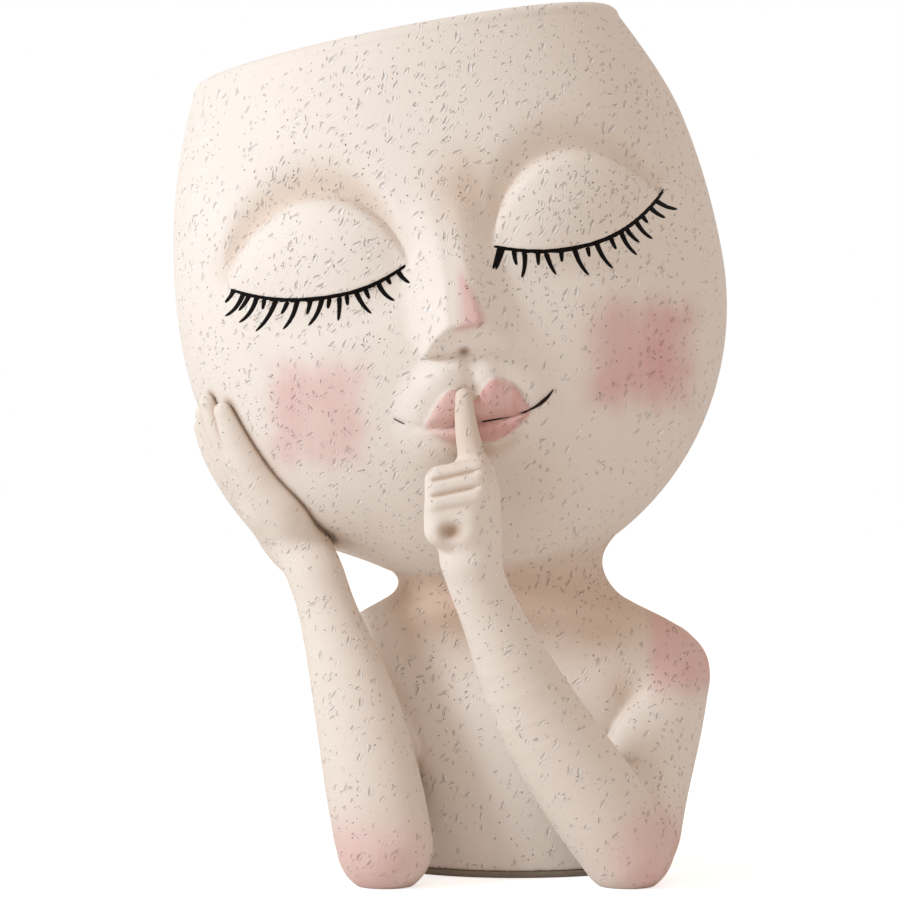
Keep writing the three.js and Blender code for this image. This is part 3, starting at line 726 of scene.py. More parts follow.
def painted_face_shade(across, up):
    """Brown painted shade in the hollows above the lids, beside the bridge, under the nose and the lower
    lip, as the finger's shadow on the chin, and in the nostril.
    """
    brow = np.where(across < 0, 0.34, 0.18) * lid_hollow(across, up)
    bridge = 0.44 * hill(across - 6, 7.5) * hill(up - 25, 10)
    below_lip = up - lip_edge(LOWER_LIP_EDGE, across)
    under_lip = 0.25 * hill(below_lip + 2.2, 1.8) * step_between(12, 8, np.abs(across))
    under_nose = 0.3 * hill(up - nose_base(across) + 0.7, 0.8) * step_between(-11, -8, across)
    under_nose *= step_between(2, -1, across)
    chin = 0.2 * hill(across - 9, 11) * hill(up + 52, 12)
    return brow + bridge + under_lip + chin + under_nose + 0.6 * nostril(across, up)


def face_wear(across, up):
    """More broken bubbles on the upper face, most of all on the lids and under the eyes."""
    eyes = hill(np.abs(across) - 35, 17) * hill(up - 14, 17)
    return 0.4 * step_between(-32, -8, up) + eyes


def patch(across, up, middle, halves):
    """A soft patch with a flat middle and rounded corners, its sides upright though the head leans."""
    aside, above = across - middle[0], up - middle[1]
    level = aside * cos(HEAD_LEAN) - above * sin(HEAD_LEAN)
    upright = aside * sin(HEAD_LEAN) + above * cos(HEAD_LEAN)
    level = level + 0.7 * np.sin(upright / 2.3) + 0.4 * np.sin(upright / 1.1 + 2)
    upright = upright + 0.8 * np.sin(aside / 1.7 + 1) + 0.5 * np.sin(aside / 0.8)
    return np.exp(-np.sqrt((level / halves[0]) ** 10 + (upright / halves[1]) ** 10))


def cheek_blush(across, up):
    """Blush dabbed on both cheeks and down the right side of the nose."""
    left = patch(across, up, (-41.5, -24.5), (12.5, 13.5))
    right = patch(across, up, (45.5, -23.5), (14.5, 14.0))
    narrow = step_between(7, -9, up)
    nose = step_between(-2.5 * narrow, 2.5, across)
    nose = nose * step_between(2.5 + 4.5 * narrow, 1.5 + 2.5 * narrow, across)
    nose = nose * step_between(-10.5, -8.5, up) * step_between(8, 2, up)
    return np.clip(0.55 * left + 0.7 * right + 0.7 * nose, 0, 1)


def lip_paint(across, up):
    """Paint on both lips, thinner on the left, and along the lower edge of the nose's tip."""
    upper = step_between(0.5, -0.7, up - lip_edge(UPPER_LIP_EDGE, across))
    lower = step_between(-0.5, 0.7, up - lip_edge(LOWER_LIP_EDGE, across))
    thickness = 0.62 + 0.18 * step_between(-3, 3, across)
    lips = upper * lower * step_between(14.5, 13, np.abs(across)) * thickness
    tip = 0.6 * hill(up - NOSE_TIP_RISE + 0.5, 0.8)
    return lips + tip * step_between(-3.5, -1, across) * step_between(6, 4, across)


# Lashes: where each one leaves the lid's edge, its length, and its lean at the root and the tip,
# in degrees towards the viewer's right
LEFT_LASHES = [
    (-56.5, 4, -40, -60), (-54, 8, -30, -75), (-52.5, 5, -35, -60), (-50.5, 8.5, -25, -70),
    (-48.5, 3, -20, -25), (-45.5, 10, -30, -60), (-42.5, 4, -25, -50), (-40, 8.5, -20, -55),
    (-36.5, 4, -20, -30), (-33.5, 8, -20, -55), (-31.5, 3, -15, -25), (-29, 6.5, -5, -20),
    (-27, 3, -5, -5), (-24.5, 7, 10, 40), (-22, 3, 5, 20), (-18.5, 6.5, 10, 55), (-16, 2, 15, 25),
    (-13, 4.5, 20, 50),
]
RIGHT_LASHES = [
    (14, 6, -25, -30), (14.7, 5.9, -25, -30), (17.5, 4, -10, 10), (20, 7, 0, -30),
    (23.5, 3.5, -10, -5), (25.5, 6.5, 5, 25), (29.5, 3, -5, -5), (33, 8, 5, 35), (36.5, 3, 0, 5),
    (39, 8, 10, 40), (43, 3.5, 10, 25), (46, 7.5, 10, 45), (47.5, 5, 25, 50), (50.5, 6.5, 20, 55),
    (52.5, 2.5, 20, 45), (55, 5, 40, 65), (57, 6.5, 50, 80),
]


def brush_stroke(path, widths, proud):
    """A flat-bottomed bead of paint along a path on the face, as points and faces."""
    ahead = np.gradient(path, axis=0)
    ahead /= length(ahead)[:, None]
    side = np.stack([-ahead[:, 1], ahead[:, 0]], axis=-1)
    profile = [(-1.0, -0.35), (-0.75, 0.6), (0.0, 1.0), (0.75, 0.6), (1.0, -0.35)]
    rings = []
    for across, rise in profile:
        spot = path + side * (0.5 * widths * across)[:, None]
        rings.append(on_face(spot[:, 0], spot[:, 1], rise * proud))
    points = np.stack(rings, axis=1).reshape(-1, 3)
    sides = len(profile)
    faces = []
    for i in range(len(path) - 1):
        for j in range(sides):
            k = (j + 1) % sides
            faces.append([i * sides + j, (i + 1) * sides + j, (i + 1) * sides + k, i * sides + k])
    faces.append(list(range(sides)))
    faces.append([(len(path) - 1) * sides + j for j in reversed(range(sides))])
    return points, faces


def blunt_end(share):
    """Share of its width that a stroke keeps towards its end."""
    return np.sqrt(1 - 0.9 * share ** 12)


def lash_strokes():
    """A line along each lid's edge and the lashes that leave it, broad at the root."""
    strokes = []
    lid_middle = 0.5 * (LID_INNER + LID_OUTER)
    for side, lashes in ((-1, LEFT_LASHES), (1, RIGHT_LASHES)):
        out = np.linspace(LID_INNER, LID_OUTER, 60)
        line = np.stack([MIDLINE + side * out, lid_edge(side * out) - 0.2], axis=-1)
        fullness = np.sqrt(np.clip(1 - np.abs((out - lid_middle) / 25) ** 3, 0.05, 1))
        strokes.append((line, 0.45 + 0.75 * fullness, LASH_PROUD))
        for across, long, root_lean, tip_lean in lashes:
            share = np.linspace(0, 1, 12)
            lean = np.radians(root_lean + (tip_lean - root_lean) * share ** 1.2)
            move = long / (len(share) - 1) * np.stack([np.sin(lean), -np.cos(lean)], axis=-1)
            root = np.array([across, float(lid_edge(across - MIDLINE)) - 0.1])
            path = root + np.cumsum(move, axis=0) - move[0]
            strokes.append((path, (1.65 - 0.8 * share) * blunt_end(share), LASH_PROUD))
    return strokes


def smile_strokes():
    """Dark line along the parting of the lips, fullest just before the upturned right end."""
    strokes = []
    for start, end, thin, full in ((1.0, 20.5, 0.4, 0.7), (-19.2, -21.7, 0.28, 0.0)):
        across = np.linspace(start, end, 30)
        share = np.linspace(0, 1, 30)
        path = np.stack([MIDLINE + across, parting_line(across)], axis=-1)
        widths = (thin + full * hill(share - 0.85, 0.15)) * blunt_end(share)
        strokes.append((path, widths, SMILE_PROUD))
    return strokes


def make_strokes(name, strokes, material):
    """One piece from all strokes of a paint."""
    points, faces = [], []
    for path, widths, proud in strokes:
        new_points, new_faces = brush_stroke(path, widths, proud)
        start = sum(len(p) for p in points)
        points.append(new_points)
        faces += [[start + corner for corner in face] for face in new_faces]
    mesh_piece(name, np.vstack(points), faces, material)


# Body: distances in millimetres from rounded forms, negative inside, melted into each other

def head_distance(points):
    """About how far points are outside the plain head."""
    place = to_head(points)
    place = place / jaw_trim(place[..., 0], place[..., 2])[..., None]
    tall = np.where(place[..., 2:] < 0, CHIN_DROP, CROWN_RISE)
    wide, deep = np.full_like(tall, HALF_WIDTH), np.full_like(tall, HALF_DEPTH)
    size = np.concatenate([wide, deep, tall], axis=-1)
    share = length(place / size)
    steep = length(place / size ** 2)
    return share * (share - 1) / np.maximum(steep, 1e-6)


def rod(points, start, end):
    """Distance to a rounded rod; each end is a place with a radius as its fourth number."""
    along = end[:3] - start[:3]
    share = np.clip((points - start[:3]) @ along / (along @ along), 0, 1)
    nearest = start[:3] + share[..., None] * along
    return length(points - nearest) - (start[3] + share * (end[3] - start[3]))


def limb(points, places):
    """Distance to a rounded limb through places that carry their radius."""
    path = smooth_path(places, steps=4)
    low = (path[:, :3] - path[:, 3:]).min(axis=0)
    high = (path[:, :3] + path[:, 3:]).max(axis=0)
    distance = length(np.maximum(np.maximum(low - points, points - high), 0))
    near = distance < NEAR_LIMB
    close = points[near]
    nearest = np.full(len(close), np.inf)
    for start, end in zip(path, path[1:]):
        nearest = np.minimum(nearest, rod(close, start, end))
    distance[near] = nearest
    return distance


# Trunk and neck: height, share of the way that the middle has moved to the chin's, half width and
# half depth
CHIN = from_head(np.array([0.0, 0.0, -CHIN_DROP]))
TRUNK = np.array([
    (-4, 0.0, BASE_HALF_WIDTH, BASE_HALF_DEPTH), (12, 0.0, BASE_HALF_WIDTH, BASE_HALF_DEPTH),
    (25, 0.0, 37.0, 30.0), (44.5, 0.0, 47.5, 28.5), (57, 0.0, 52.0, 25.0), (64.2, 0.15, 49.0, 24.0),
    (68, 0.4, 44.6, 23.4), (71, 0.6, 39.6, 23.1), (73.2, 0.65, 35.4, 23.0), (76, 0.65, 31.0, 22.9),
    (80.5, 0.7, 27.9, 22.6), (86, 0.75, 26.9, 22.0), (98, 0.8, 26.9, 22.0),
])


def trunk(points):
    """Distance to the trunk and neck, an oval at each height."""
    level = smooth_path(TRUNK, steps=8)
    height = points[..., 2]
    lean, half_width, half_depth = (np.interp(height, level[:, 0], level[:, i]) for i in (1, 2, 3))
    across = (points[..., 0] - CHIN[0] * lean) / half_width
    through = (points[..., 1] - CHIN[1] * lean) / half_depth
    return (np.sqrt(across ** 2 + through ** 2) - 1) * np.minimum(half_width, half_depth)


def upper_arm(points, side):
    """From the shoulder down and forward to the elbow, with a fold over the crook."""
    elbow, swing = (RIGHT_ELBOW, RIGHT_SWING) if side < 0 else (LEFT_ELBOW, LEFT_SWING)
    arm = limb(points, [
        (side * 40.9, 0, 51, 13.2),
        (elbow[0] + side * swing, -13, 39, 13.6),
        (elbow[0] + side * 0.6 * swing, -28, 24, 12.4),
        (elbow[0] + side * 0.3 * swing, -40, 14, 12.2),
    ])
    above = points[..., 2] - CROOK_RISE
    outward = side * (points[..., 0] - elbow[0])
    front = step_between(-8, -16, points[..., 1]) * step_between(11, 5, outward)
    recess = 1.6 * step_between(0.8, -1.5, above) * step_between(-16, -4, above)
    return arm + front * (0.8 * hill(above, 1.2) + recess)


def forearm(points, elbow, wrist, bow, beyond):
    """From the elbow to the wrist, bowed to the side, and on through the places beyond it."""
    def place(share, bow_share, radius):
        return [*(elbow + share * (wrist - elbow) + np.array([bow * bow_share, 0, 0])), radius]
    return limb(points, [
        [*elbow, ELBOW_RADIUS],
        place(0.2, 0.5, 1.07 * FOREARM_RADIUS),
        place(0.5, 1.0, 0.94 * FOREARM_RADIUS),
        place(0.83, 0.5, 1.04 * WRIST_RADIUS),
        [*wrist, WRIST_RADIUS],
        *beyond,
    ])


def beside_head(degrees, up, lift):
    """A place by the viewer's left cheek: a turn from the face, a height and a lift off the head."""
    share = sqrt(1 - (up / CHIN_DROP) ** 2)
    turn = radians(degrees)
    spot = np.array([-HALF_WIDTH * share * sin(turn), -HALF_DEPTH * share * cos(turn), up])
    outward = spot / np.array([HALF_WIDTH, HALF_DEPTH, CHIN_DROP]) ** 2
    return from_head(spot + lift * outward / np.linalg.norm(outward))


def cheek_knot(degrees, up, lift, radius):
    """A place of the cheek hand, with its radius as a fourth number."""
    return [*beside_head(degrees, up, lift), radius]


HEEL = beside_head(HAND_TURN, HEEL_UP, 0.3 * WRIST_RADIUS)
RIGHT_WRIST = HEEL + np.array([4.9, -7.2, -7.4])


def cheek_hand(points):
    """Flat hand along the cheek: palm, four fingers side by side and the thumb behind the jaw."""
    palm, fingers = None, None
    for turn, long, lift in zip(FINGER_TURNS, FINGER_LENGTHS, FINGER_LIFTS):
        root = cheek_knot(HAND_TURN + 0.45 * (turn - HAND_TURN), HEEL_UP, 3.0, 5.8)
        bone = limb(points, [root] + [
            cheek_knot(turn, up, lift, radius)
            for up, radius in ((-48, 5.8), (-40, 5.1), (FINGER_BASE_UP, 4.2), (FINGER_BASE_UP + 5, 3.0))
        ])
        palm = bone if palm is None else soft_min(palm, bone, 4.0)
        finger = limb(points, [
            cheek_knot(turn, FINGER_BASE_UP + share * long, lift, thick * FINGER_RADIUS)
            for share, thick in ((0, 1), (0.5, 0.95), (1, 0.68))
        ])
        fingers = finger if fingers is None else soft_min(fingers, finger, 0.9)
    thumb = limb(points, [
        cheek_knot(HAND_TURN + turn, share * HEEL_UP, 2.7, radius)
        for turn, share, radius in ((6, 0.97, 5.2), (18, 0.92, 4.5), (28, 0.83, 3.8), (35, 0.73, 2.9))
    ])
    return soft_min(soft_min(palm, fingers, 1.5), thumb, 3.0)


def right_arm(points):
    """Forearm on the viewer's left, with the flat hand on the cheek."""
    beyond = [[*HEEL, 6.6], cheek_knot(0.95 * HAND_TURN, 0.84 * HEEL_UP, 2.6, 5.4)]
    arm = forearm(points, RIGHT_ELBOW, RIGHT_WRIST, 2.0, beyond)
    return soft_min(arm, cheek_hand(points), 5.0)


LIPS_OUT = HALF_DEPTH * sqrt(1 - (LIPS_UP / CHIN_DROP) ** 2)
FINGERTIP = from_head(np.array([MIDLINE, -LIPS_OUT, LIPS_UP])) + np.array([-4.0, -6.8, 6.7])
FIST = FINGERTIP + np.array([-0.2, -1.0, -27.7])
LEFT_WRIST = FIST + np.array([2.6, 3.9, -16.8])
KNUCKLE = FIST + np.array([3.8, 1.2, 7.9])
FIST_DIMPLE = FIST + np.array([-3.0, -8.0, -6.8])


def knot(place, shift, radius):
    """A place moved by a shift, with its radius as a fourth number."""
    return [*(place + np.array(shift)), radius]


def block(points, centre, halves, rounding, slope=0.0):
    """Distance to a rounded block whose level lines rise to the viewer's right by a slope."""
    place = points - np.array(centre)
    rise = place[..., 2] - slope * place[..., 0]
    place = np.stack([place[..., 0], place[..., 1], rise], axis=-1)
    over = np.abs(place) - (np.array(halves) - rounding)
    return length(np.maximum(over, 0)) + np.minimum(over.max(axis=-1), 0) - rounding


def fist_dimple(points):
    """Share of the small hollow's depth where the curled fingers meet the palm."""
    off = (points - FIST_DIMPLE) / np.array([2.4, 5.0, 1.8])
    return np.exp(-(off ** 2).sum(axis=-1))


def pointing_hand(points):
    """Fist before the chin: three curled fingers, the thumb's pad below and the pointing finger up."""
    curled_middle = FIST + np.array([-1.8, -1.6, 4.6])
    curled = block(points, curled_middle, (8.0, 7.2, 6.2), 3.2, FIST_SLOPE)
    pad = block(points, FIST + np.array([-2.4, -1.0, -5.0]), (7.6, 7.0, 5.8), 4.4)
    back = limb(points, [
        knot(FIST, (2.0, 2.4, -13.3), 7.7),
        knot(FIST, (2.5, 1.6, -4.3), 7.3),
        knot(FIST, (3.3, 1.0, 2.7), 6.3),
        [*KNUCKLE, 4.7],
    ])
    pointing = limb(points, [
        knot(KNUCKLE, (-0.2, 0.4, -2.0), 4.2),
        knot(FINGERTIP, (2.2, 0, -16.0), 3.6),
        knot(FINGERTIP, (0.7, 0, -8.0), 3.0),
        [*FINGERTIP, 2.3],
    ])
    hand = soft_min(soft_min(back, pointing, 1.2), soft_min(curled, pad, 2.0), 2.6)

    # Grooves between the curled fingers
    aside = points[..., 0] - curled_middle[0]
    front = step_between(2, -2, points[..., 1] - FIST[1])
    for rise, depth in ((2.9, 1.5), (-1.1, 1.5), (-5.2, 0.3)):
        off = points[..., 2] - curled_middle[2] - GROOVE_SLOPE * aside - rise
        ends = step_between(7.5, 4.0, aside) * step_between(-7.8, -4.5, aside)
        hand = hand + depth * hill(off, 0.6) * ends * front
    return hand + 3.6 * fist_dimple(points)


def left_arm(points):
    """Forearm on the viewer's right, with the fist and its pointing finger."""
    arm = forearm(points, LEFT_ELBOW, LEFT_WRIST, -4.2, [knot(FIST, (1.8, 2.6, -8.0), 7.8)])
    return soft_min(arm, pointing_hand(points), 2.0)


def forearms(points):
    """Distance to the nearer forearm."""
    return np.minimum(right_arm(points), left_arm(points))


def bust_forms(points):
    """Trunk, neck and upper arms melted together, with a groove at the armpit on the viewer's right."""
    arms = np.minimum(upper_arm(points, -1), upper_arm(points, 1))
    height = points[..., 2]
    chest = trunk(points)
    armpit = step_between(34, 38, height) * step_between(52, 46, height)
    armpit = armpit * step_between(0, 10, points[..., 0])
    blend = 2.0 + 1.5 * step_between(44, 58, height)
    return soft_min(chest, arms, blend) + 0.7 * armpit * hill(chest - arms, 2.0)


def body(points):
    """The whole figure below the head as one melted form."""
    return soft_min(bust_forms(points), forearms(points), ARM_BLEND)


def elbow_dowel_hole(points, side, elbow):
    """Hole across the joint between an upper arm and its forearm."""
    radius, reach = ELBOW_DOWEL
    along = np.array([side * SHOULDER[0], 0, SHOULDER[1]]) - elbow
    along = along / np.linalg.norm(along)
    joint = elbow + ELBOW_RADIUS * along
    reach, radius = reach + DOWEL_CLEARANCE - radius, radius + DOWEL_CLEARANCE
    low, high = joint - reach * along, joint + reach * along
    return rod(points, np.array([*low, radius]), np.array([*high, radius]))


def oval(points, half_width, half_depth):
    """Distance to an upright oval column."""
    share = np.hypot(points[..., 0] / half_width, points[..., 1] / half_depth)
    return (share - 1) * np.minimum(half_width, half_depth)


def bust_hollow(points):
    """Chamber inside the bust, with a wider step at its mouth for the closing plate."""
    height = points[..., 2]
    wide = np.interp(height, [0.7 * HOLLOW_TOP, 0.9 * HOLLOW_TOP, HOLLOW_TOP], [1.0, 0.8, 0.45])
    chamber = oval(points, wide * (BASE_HALF_WIDTH - BUST_WALL), wide * (BASE_HALF_DEPTH - BUST_WALL))
    chamber = np.maximum(chamber, height - HOLLOW_TOP)
    step = oval(points, BASE_HALF_WIDTH - PLATE_INSET, BASE_HALF_DEPTH - PLATE_INSET)
    return np.minimum(chamber, np.maximum(step, height - PAD - PLATE - 2 * GLUE_GAP))


def forearm_piece(arm, side, elbow):
    """Field of a forearm as it is cast: split from the bust, cut to the head and drilled."""
    def field(points):
        seam = 0.5 * (arm(points) - bust_forms(points)) - SEAM_LAP
        form = np.maximum(body(points), seam)
        form = np.maximum(form, -HEAD_LAP - head_distance(points))
        form = np.maximum(form, -elbow_dowel_hole(points, side, elbow))
        return np.maximum(form, -points[..., 2])
    return field


def bust_piece(points):
    """Field of the bust as it is cast: split from the forearms, filleted to the head and drilled."""
    forms, arms = bust_forms(points), forearms(points)
    seam = 0.5 * (forms - arms)
    inset = SEAM_INSET * step_between(-3 * SEAM_LAP, 0, seam)
    plain = np.maximum(soft_min(forms, arms, ARM_BLEND) + inset, seam - SEAM_LAP)
    head_gap = head_distance(points)
    dive = 0.2 - 0.5 * np.clip(plain / NECK_FILLET, 0, 1)
    form = np.maximum(soft_min(plain, head_gap - dive, NECK_FILLET), plain - NECK_FILLET)
    cup = HEAD_LAP + 2.2 * step_between(-5, -1, plain)
    form = np.maximum(form, -cup - head_gap)
    form = np.maximum(form, PAD + GLUE_GAP - points[..., 2])
    radius, reach = NECK_DOWEL
    low, high = CHIN - np.array([0, 0, reach - radius]), CHIN + np.array([0, 0, reach])
    wide = radius + DOWEL_CLEARANCE
    holes = rod(points, np.array([*low, wide]), np.array([*high, wide]))
    for side, elbow in ((-1, RIGHT_ELBOW), (1, LEFT_ELBOW)):
        holes = np.minimum(holes, elbow_dowel_hole(points, side, elbow))
    return np.maximum(form, -np.minimum(bust_hollow(points), holes))


def skin(field, low, high, pitch):
    """Points and quads of the surface where a field is zero inside a box.

    The field is found roughly at every fourth place, and finely near the surface alone.
    """
    coarse = 4
    axes = [np.arange(low[i] - 3 * pitch, high[i] + 4 * pitch, pitch) for i in range(3)]
    axes = [axis[: coarse * (len(axis) // coarse)] for axis in axes]
    grid = np.stack(np.meshgrid(*axes, indexing="ij"), axis=-1)
    rough = field(grid[::coarse, ::coarse, ::coarse])
    values = rough.repeat(coarse, 0).repeat(coarse, 1).repeat(coarse, 2)
    near = np.abs(values) < 2.0 * coarse * pitch
    values[near] = field(grid[near])
    inside = values < 0

    # Each cell that the surface crosses gets one point, midway between the cuts through its edges
    corners = [(i, j, k) for i in (0, 1) for j in (0, 1) for k in (0, 1)]
    shape = tuple(n - 1 for n in values.shape)

    def corner(array, offset):
        return array[tuple(slice(o, o + n) for o, n in zip(offset, shape))]

    filled = sum(corner(inside, offset).astype(np.int8) for offset in corners)
    crossed = (filled > 0) & (filled < 8)
    number = np.full(shape, -1)
    cells = np.argwhere(crossed)
    number[crossed] = np.arange(len(cells))
    total = np.zeros((len(cells), 3))
    count = np.zeros(len(cells))
    for start in corners:
        for axis in range(3):
            if start[axis]:
                continue
            end = tuple(1 if i == axis else start[i] for i in range(3))
            first = corner(values, start)[crossed]
            second = corner(values, end)[crossed]
            cut = (first < 0) != (second < 0)
            spot = np.tile(np.array(start, dtype=float), (len(cells), 1))
            spot[cut, axis] = (first / np.where(cut, first - second, 1))[cut]
            total[cut] += spot[cut]
            count += cut
    points = np.array([axis[0] for axis in axes]) + (cells + total / count[:, None]) * pitch

    # Each edge between inside and outside gets a quad of the four cells round it
    quads = []
    for axis in range(3):
        u, v = np.eye(3, dtype=int)[(axis + 1) % 3], np.eye(3, dtype=int)[(axis + 2) % 3]
        edges = np.argwhere(inside != np.roll(inside, -1, axis=axis))
        edges = edges[np.all((edges > 0) & (edges < np.array(shape) - 1), axis=1)]
        around = [number[tuple((edges - move).T)] for move in (0 * u, u, u + v, v)]
        quad = np.stack(around, axis=-1)
        turned = ~inside[tuple(edges.T)]
        quad[turned] = quad[turned][:, ::-1]
        quads.append(quad)
    return points, np.vstack(quads)


def whole_figure(points):
    """Distance to the figure with its plain head."""
    return np.minimum(body(points), head_distance(points))


def closeness(points, normals, around):
    """How closed in a place is: 0 where nothing is near, 1 in the tightest crease."""
    kept = np.zeros(len(points))
    for reach in CREASE_REACHES:
        kept += (1 - np.clip(around(points + reach * normals) / reach, 0, 1)) / len(CREASE_REACHES)
    return kept


def crease_and_neck_shade(points, close, share):
    """How much brown painted shade lies: none on open surfaces, most in creases and on the neck under the
    head.
    """
    neck = hill(points[:, 2] - NECK_FOOT, 17) * step_between(6, 1, trunk(points))
    neck = neck * step_between(-40, -28, points[:, 0])
    return share * np.clip(1.3 * (close - 0.32), 0, 0.6) + NECK_SHADE * neck


def painted_crevice_shade(close):
    """Dark painted shade in the tightest creases."""
    return 0.55 * step_between(0.74, 0.97, close)


def point_normals(points, quads):
    """Unit normals of points from the quads around them."""
    quads = np.asarray(quads)
    first, second, third, fourth = (points[quads[:, corner]] for corner in range(4))
    facing = np.cross(third - first, fourth - second)
    normals = np.zeros_like(points)
    for corner in range(4):
        np.add.at(normals, quads[:, corner], facing)
    return normals / np.maximum(length(normals), 1e-9)[:, None]


def soft_spots(points, spots):
    """Sum of soft spots as seen from the front, each with its place, half sizes and strength."""
    x, z = points[:, 0], points[:, 2]
    return sum(
        share * hill(x - across, wide) * hill(z - rise, tall)
        for across, rise, wide, tall, share in spots
    )


def painted_body_shade(points):
    """Brown painted shade at the foot of the neck and on the shoulder under the head, and in the armpit;
    the upper part of the pointing finger is darker too.
    """
    x, y, z = points[:, 0], points[:, 1], points[:, 2]
    on_trunk = soft_spots(points, ((-13, 72, 16, 8, 0.18), (24, 65, 9, 6, 0.18), (28, 50, 4.5, 6, 0.34)))
    finger = step_between(105, 120, z) * step_between(-40, -30, x)
    return on_trunk * step_between(-48, -40, y) + 0.2 * finger


def body_wear(points):
    """More broken bubbles on neck, chest, shoulder, armpit and elbow, where the mould drew air."""
    return soft_spots(points, (
        (15, 80, 15, 8, 2.0), (34, 52, 10, 8, 1.5), (-27, 57, 9, 9, 1.4),
        (47, 62, 7, 7, 1.2), (38, 20, 8, 9, 1.2),
    ))


def body_blush(points):
    """Blush on the shoulder at the viewer's right and on both elbows."""
    x, y, z = points[:, 0], points[:, 1], points[:, 2]
    shoulder = step_between(34, 39, x) * step_between(43, 56, z) * step_between(20, 4, y)
    elbows = 0
    for middle, halves in (((-39, -54, 6), (17, 30, 14)), ((36, -54, 8), (14, 30, 14))):
        share = (points - np.array(middle)) / np.array(halves)
        elbows = elbows + np.exp(-length(share) ** 3)
    return np.clip(0.6 * shoulder + 0.55 * elbows, 0, 1)


def make_casting(name, field, node, cell, all_over):
    """A painted casting in place of its plain solid, with painted shade and some brown tint all over."""
    low, high = (np.array(corner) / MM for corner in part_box(node))
    room = np.array([ROOM_ROUND, ROOM_ROUND, ROOM_ABOVE])
    points, quads = skin(field, low - ROOM_ROUND, high + room, cell)
    close = closeness(points, point_normals(points, quads), whole_figure)
    tint_and_shade = all_over + crease_and_neck_shade(points, close, BODY_CREASE_SHADE) + painted_body_shade(points)
    # Brown painted shade and dark painted shade in the fist's dimple
    dimple = fist_dimple(points)
    marks = {
        "blush": body_blush(points),
        "lip_paint": np.zeros(len(points)),
        "painted_shade_and_tint": tint_and_shade + 0.7 * dimple,
        "painted_crevice_shade": painted_crevice_shade(close) + 0.45 * dimple,
        "wear": body_wear(points),
    }
    piece = mesh_piece(name, points, quads.tolist(), resin, (node,), marks)
    smooth = piece.modifiers.new("smooth", "SMOOTH")
    smooth.factor = 0.5
    smooth.iterations = 3


def make_pad():
    """Thin foam pad under the foot of the trunk, with a soft edge."""
    turns = np.linspace(0, 2 * pi, 96, endpoint=False)
    rings = []
    for inset, rise in ((1.2, 0), (0.5, 0.08), (0.1, 0.45), (0.1, 1.3), (0.25, PAD + GLUE_GAP)):
        x = (BASE_HALF_WIDTH - inset) * np.cos(turns)
        y = (BASE_HALF_DEPTH - inset) * np.sin(turns)
        rings.append(np.stack([x, y, np.full_like(x, rise)], axis=-1))
    points = np.vstack([*rings, [[0, 0, 0], [0, 0, PAD + GLUE_GAP]]])
    faces = grid_faces(len(rings), len(turns))
    pad = mesh_piece("foam_pad", points, faces, foam, ("base_pad",))


make_head()
make_strokes("eyelashes", lash_strokes(), lash_paint)
make_strokes("smile_line", smile_strokes(), smile_paint)
make_casting("bust_casting", bust_piece, "bust", BUST_CELL, 0.0)
cheek_arm = forearm_piece(right_arm, -1, RIGHT_ELBOW)
make_casting("cheek_hand_arm", cheek_arm, "right_forearm", CHEEK_ARM_CELL, ARM_WASH)
pointing_arm = forearm_piece(left_arm, 1, LEFT_ELBOW)
make_casting("pointing_arm", pointing_arm, "left_forearm", POINTING_ARM_CELL, ARM_WASH)
make_pad()

for node_name, finish in (
    ("base_plate", bare_resin), ("neck_dowel", drawn_steel),
    ("right_elbow_dowel", drawn_steel), ("left_elbow_dowel", drawn_steel),
):
    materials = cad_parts[node_name].data.materials
    materials.clear()
    materials.append(finish)


# Studio

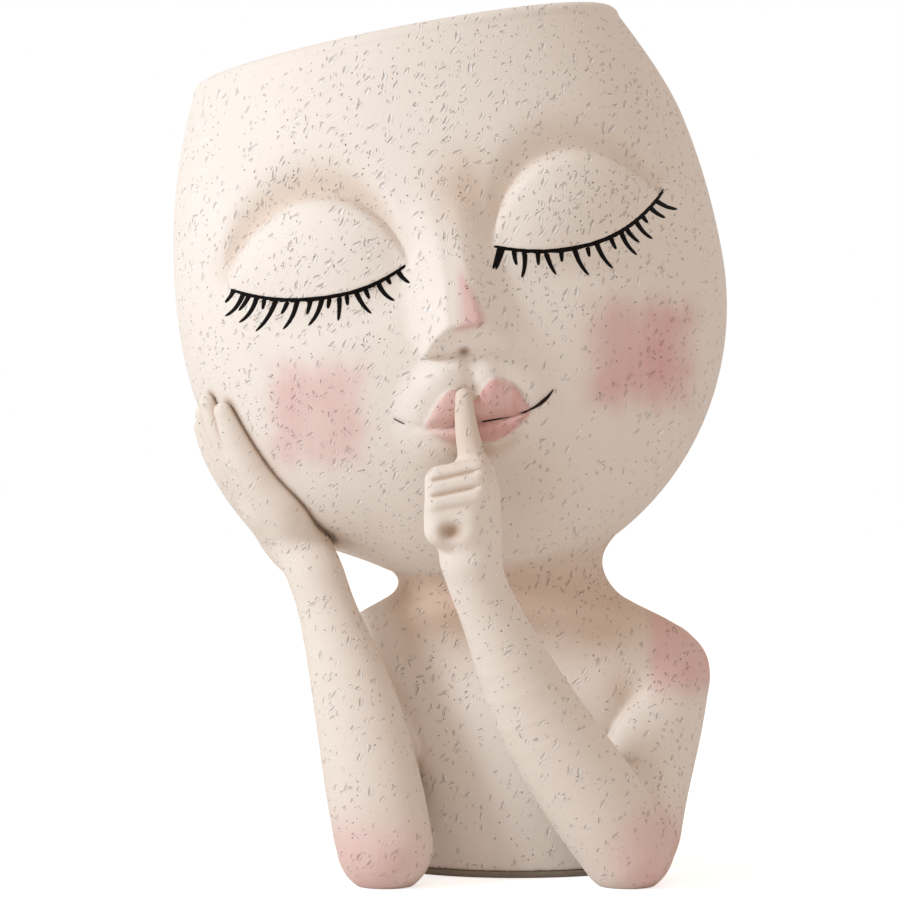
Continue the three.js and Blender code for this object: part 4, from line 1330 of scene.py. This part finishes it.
def make_floor():
    """Pale floor that keeps the vase's shadow; what the camera sees of it is lifted to white."""
    material, tree = new_material("studio_floor")
    place = add(tree, "TexCoord").outputs["Object"]
    mottle = add(tree, "TexNoise", {"Vector": place, "Scale": 1 / (120 * MM)})
    tints = {0: mottle.outputs["Fac"], 6: linear("#f2f0ee"), 7: linear("#eeecea")}
    colour = add(tree, "Mix", tints, data_type="RGBA")
    paint = add(tree, "BsdfDiffuse", {"Color": colour.outputs[2]})
    lift = add(tree, "Emission", {"Color": (1, 1, 1, 1), "Strength": FLOOR_LIFT})
    seen = add(tree, "LightPath")
    clear = add(tree, "BsdfTransparent", {"Color": (0, 0, 0, 1)})
    lifted = add(tree, "MixShader", {0: seen.outputs["Is Camera Ray"], 1: clear, 2: lift})
    both = add(tree, "AddShader", {0: paint, 1: lifted})
    add(tree, "OutputMaterial", {"Surface": both})
    mesh = bpy.data.meshes.new("floor")
    half = FLOOR_HALF
    corners = [(-half, -half, 0), (half, -half, 0), (half, half, 0), (-half, half, 0)]
    mesh.from_pydata(corners, [], [(0, 1, 2, 3)])
    mesh.materials.append(material)
    floor = bpy.data.objects.new("floor", mesh)
    bpy.context.collection.objects.link(floor)


def make_world():
    """Warm fill from all round, and a plain white background for the camera and for reflections."""
    world = bpy.data.worlds.new("studio")
    world.use_nodes = True
    tree = world.node_tree
    tree.nodes.clear()
    fill = add(tree, "Background", {"Color": linear("#fff1e6"), "Strength": FILL_STRENGTH})
    white = add(tree, "Background", {"Color": (1, 1, 1, 1), "Strength": 1.0})
    path = add(tree, "LightPath")
    mirrored = {0: path.outputs["Is Glossy Ray"], 1: path.outputs["Is Transmission Ray"]}
    mirror = add(tree, "Math", mirrored, operation="MAXIMUM")
    shown = add(tree, "Math", {0: path.outputs["Is Camera Ray"], 1: mirror}, operation="MAXIMUM")
    mixed = add(tree, "MixShader", {0: shown, 1: fill, 2: white})
    add(tree, "OutputWorld", {"Surface": mixed})
    bpy.context.scene.world = world


def make_key_lamp():
    """A soft lamp from the upper left, in front."""
    data = bpy.data.lights.new("key", "AREA")
    data.size = KEY_SIZE
    data.energy = KEY_POWER
    data.color = KEY_COLOUR
    lamp = bpy.data.objects.new("key", data)
    bpy.context.collection.objects.link(lamp)
    lamp.location = KEY_PLACE
    towards = Vector(KEY_TARGET) - lamp.location
    lamp.rotation_euler = towards.to_track_quat("-Z", "Y").to_euler()


def make_camera():
    """A level camera in front, at the photograph's distance."""
    data = bpy.data.cameras.new("camera")
    data.sensor_width = SENSOR_WIDTH
    data.lens = CAMERA_LENS
    camera = bpy.data.objects.new("camera", data)
    bpy.context.collection.objects.link(camera)
    camera.location = CAMERA_PLACE
    camera.rotation_euler = (0.5 * pi, 0, 0)
    bpy.context.scene.camera = camera


make_floor()
make_world()
make_key_lamp()
make_camera()
bpy.context.scene.view_settings.view_transform = "Standard"
